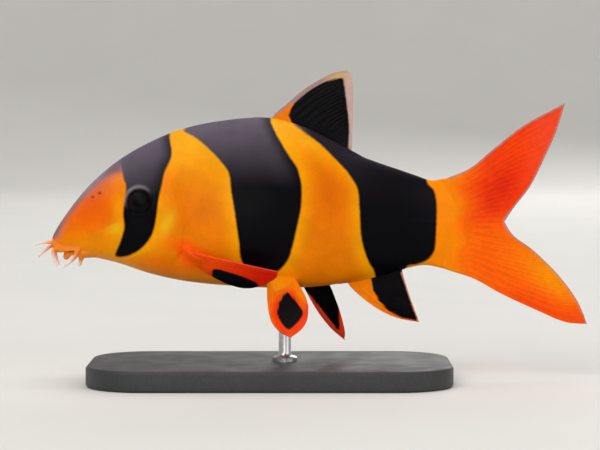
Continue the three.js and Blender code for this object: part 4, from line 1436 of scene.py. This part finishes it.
def make_pelvic(side, material):
    name = f"pelvic_fin_{side}"
    outline = PELVIC if side == "left" else CLOSED_PELVIC
    surface = paired_surface(outline, PELVICS[side])
    mesh, u, v = fin_mesh(name, surface, outline["rays"], 14, 90, 0.75, (0.3, 0.9, 0.1))
    black = blotch_on(outline, u, v)
    ground = first_coat(FIN_ORANGE, u)
    ground = wash(ground, FIN_RED, bell(np.minimum(black + 0.4, 0), 1.1) * fade(0.2, 0.5, v))
    ground = wash(ground, FIN_RED, 0.8 * fade(0.6, 0.9, v))
    if side == "right":
        # the far fin: its own pink-red rim, and painted light as well, brighter orange over it all to make up
        # for the body's shade
        ground = wash(ground, BLOOD_ORANGE, np.full(len(u), 0.6))
        ground = wash(ground, FIN_PINK, 0.7 * fade(0.3, 0.6, v) * (1 - fade(0.1, 0.4, u)))
    else:
        ground = wash(ground, FIN_GOLD, 0.7 * fade(0.6, 1, u) * (1 - fade(0.7, 0.95, v)))
    ground = wash(ground, FIN_GOLD, 0.9 * (1 - fade(0.12, 0.42, v)))
    return finish_fin(mesh, ground, black, material, (f"fin_pelvic_{side}",))


# Barbels


def travelling_frames(line):
    """Two directions across the line at each of its points, carried along without twist."""
    ahead = unit(np.gradient(line, axis=0))
    first = unit(np.cross(ahead[0], (0, 1, 0.2)))
    across = []
    for way in ahead:
        first = unit(first - way * (first @ way))
        across.append(first)
    across = np.array(across)
    return across, np.cross(ahead, across)


def make_barbel(name, points, replaced, material):
    """A soft tapering feeler with a round tip and fine rings of skin."""
    sides = 20
    rings = 96
    bm = bmesh.new()
    bmesh.ops.create_uvsphere(bm, u_segments=sides, v_segments=rings, radius=1)
    mesh = mesh_from(bm, name)
    ball = points_of(mesh)
    t = np.arccos(np.clip(ball[:, 2], -1, 1)) / math.pi
    angle = np.arctan2(ball[:, 1], ball[:, 0])
    row = np.rint(t * rings).astype(int)
    line = even_curve(points)(np.linspace(0, 1, rings + 1))
    across, up = travelling_frames(line)
    length = np.linalg.norm(np.diff(line, axis=0), axis=1).sum()
    to_end = np.minimum(t, 1 - t) * length
    taper = blend(BARBEL_ROOT, BARBEL_TIP, t)
    rounding = np.sqrt(np.clip(1 - (1 - np.clip(to_end / taper, 0, 1)) ** 2, 0, 1))
    ringed = 1 + 0.02 * np.sin(2 * math.pi * t * length / 0.36 + 0.8 * np.sin(angle))
    radius = (taper * rounding * ringed)[:, None]
    place = line[row] + radius * (across[row] * np.cos(angle)[:, None] + up[row] * np.sin(angle)[:, None])
    move_points(mesh, place)
    covered = 0.7 * foot_share(points)
    write_values(mesh, "along", (t - covered) / (1 - covered))
    tidy_mesh(mesh, 0.0002)
    return piece(mesh, material, (replaced,))


# Eyes


def eye_turn(side):
    """Turns a shape made round the Z axis to stand out of the socket."""
    centre = on_side(EYE_X, EYE_Z, side)
    axis = Vector(outward_at(EYE_X, EYE_Z, side))
    turn = Vector((0, 0, 1)).rotation_difference(axis).to_matrix().to_4x4()
    return Matrix.Translation(Vector(centre)) @ turn


def make_eye(name, side, ball_material, cornea_material):
    dome = EYE_SINK + EYE_STANDS_OUT
    bm = bmesh.new()
    bmesh.ops.create_uvsphere(bm, u_segments=96, v_segments=96, radius=1)
    mesh = mesh_from(bm, f"eyeball_{name}")
    ball = points_of(mesh)
    reach = np.hypot(ball[:, 0], ball[:, 1]) * (EYE_RADIUS - CORNEA)
    angle = np.arctan2(ball[:, 1], ball[:, 0])
    shell = -EYE_SINK + (dome - CORNEA) * ball[:, 2]
    fibres = 0.025 * np.cos(56 * angle) * fade(PUPIL_RADIUS, PUPIL_RADIUS + 0.4, reach)
    iris_height = blend(0.3, 0.02, fade(PUPIL_RADIUS, IRIS_RADIUS, reach)) + fibres
    lens = 0.12 + 0.5 * np.sqrt(np.clip(1 - (reach / (PUPIL_RADIUS + 0.05)) ** 2, 0, 1))
    front = np.where(reach < PUPIL_RADIUS, lens, iris_height)
    height = np.where(ball[:, 2] > 0, np.minimum(shell, front), shell)
    place = np.stack([reach * np.cos(angle), reach * np.sin(angle), height], axis=-1)
    move_points(mesh, place)
    write_values(mesh, "from_pupil", (reach - PUPIL_RADIUS) / (EYE_RADIUS - CORNEA - PUPIL_RADIUS))
    # painted highlight: how much the iris ring is lit, strongest above and in front
    up_and_forward = 0.7 * (-np.cos(angle) - side * np.sin(angle))
    write_values(mesh, "upper", blend(0.06, 1, fade(0.1, 0.95, up_and_forward)))
    mesh.transform(eye_turn(side))
    tidy_mesh(mesh, 0.0002)
    piece(mesh, ball_material, (f"eye_{name}",))

    bm = bmesh.new()
    bmesh.ops.create_uvsphere(bm, u_segments=72, v_segments=48, radius=1)
    bmesh.ops.scale(bm, vec=(EYE_RADIUS, EYE_RADIUS, dome), verts=bm.verts)
    bmesh.ops.translate(bm, vec=(0, 0, -EYE_SINK), verts=bm.verts)
    mesh = mesh_from(bm, f"cornea_{name}")
    mesh.transform(eye_turn(side))
    piece(mesh, cornea_material)


# Stand


def make_plate(material):
    bm = bmesh.new()
    bmesh.ops.create_cube(bm, size=1)
    bmesh.ops.scale(bm, vec=(PLATE["length"], PLATE["width"], PLATE["height"]), verts=bm.verts)
    bmesh.ops.translate(bm, vec=(0, 0, PLATE["height"] / 2), verts=bm.verts)
    corners = [edge for edge in bm.edges if abs(edge.verts[0].co.z - edge.verts[1].co.z) > 1]
    round_edges(bm, corners, PLATE["corner"], 20)
    rims = [edge for edge in bm.edges if abs(edge.calc_face_angle(0)) > 1.2]
    round_edges(bm, rims, PLATE["bevel"], 5)
    return piece(mesh_from(bm, "plate"), material, ("stand_base",), bend=False)


def make_post(material):
    """A turned rod with a collar on the plate, standing a little way into the belly."""
    foot = PLATE["height"] + 0.02
    shoulder = foot + POST["collar_height"]
    top = belly(np.array([POST["x"] - SNOUT_X]))[0] + POST["in_belly"]
    radius = POST["radius"]
    collar = POST["collar_radius"]
    corner = POST["corner"]
    profile = [
        (0, foot), (collar, foot), (collar, shoulder - corner), (collar - corner, shoulder),
        (radius + 0.5, shoulder + 0.1), (radius + 0.15, shoulder + 0.35), (radius, shoulder + 0.9),
        (radius, top), (0, top),
    ]
    bm = spun(profile, 64, 0.001)
    bmesh.ops.translate(bm, vec=(POST["x"], 0, 0), verts=bm.verts)
    made = piece(mesh_from(bm, "post"), material, ("stand_rod",), bend=False)
    made.data.set_sharp_from_angle(angle=math.radians(40))


# Studio


def make_studio():
    """A pale floor that curves up into a wall all round, so that every view has the same plain ground."""
    bend = WALL_RADIUS - FLOOR_RADIUS
    angles = np.linspace(0, math.pi / 2, 17)
    curve = [(FLOOR_RADIUS + bend * math.sin(a), bend * (1 - math.cos(a))) for a in angles]
    bm = spun([(0, 0), *curve, (WALL_RADIUS, WALL_TOP)], 96, 0.0001)
    mesh = mesh_from(bm, "floor")
    mesh.shade_smooth()
    mesh.materials.append(studio_paper())
    link_object("floor", mesh)


def add_lamp(name, place, size, power, colour):
    lamp = bpy.data.lights.new(name, "AREA")
    lamp.shape = "DISK"
    lamp.size = size
    lamp.energy = power
    lamp.color = colour
    made = link_object(name, lamp)
    made.location = place
    look_along(made, Vector((AIM_X * MM, 0, AIM_Z * MM)) - Vector(place))
    made.visible_camera = False


def light_studio():
    for lamp in LAMPS:
        add_lamp(*lamp)
    world = bpy.data.worlds.new("room")
    world.use_nodes = True
    background = world.node_tree.nodes["Background"]
    background.inputs["Color"].default_value = ROOM_COLOUR
    background.inputs["Strength"].default_value = ROOM_STRENGTH
    bpy.context.scene.world = world
    bpy.context.scene.view_settings.view_transform = "Standard"


def set_camera():
    lens = bpy.data.cameras.new("camera")
    lens.lens = LENS
    lens.sensor_width = SENSOR
    lens.clip_start, lens.clip_end = CAMERA_CLIP
    camera = link_object("camera", lens)
    camera.location = Vector(CAMERA_PLACE) * MM
    look_along(camera, Vector((AIM_X, 0, AIM_Z)) * MM - camera.location)
    bpy.context.scene.camera = camera


# The whole model


def make_fish():
    make_skin(varnished_skin())
    web = fin_web()
    make_dorsal(web)
    make_anal(web)
    make_tail(web)
    barbel = barbel_skin()
    iris = iris_and_pupil()
    cornea = clear_cornea()
    for name, side in (("left", -1), ("right", 1)):
        make_pectoral(name, web)
        make_pelvic(name, web)
        make_eye(name, side, iris, cornea)
        for kind, points in BARBELS.items():
            path = [(x, -side * y, z) for x, y, z in points]
            if kind == "rostral_inner" and name == "right":
                path = DROOPING_BARBEL
            make_barbel(f"feeler_{kind}_{name}", path, f"barbel_{kind}_{name}", barbel)


set_camera()
make_studio()
light_studio()
make_fish()
make_plate(powder_coat())
make_post(turned_steel())
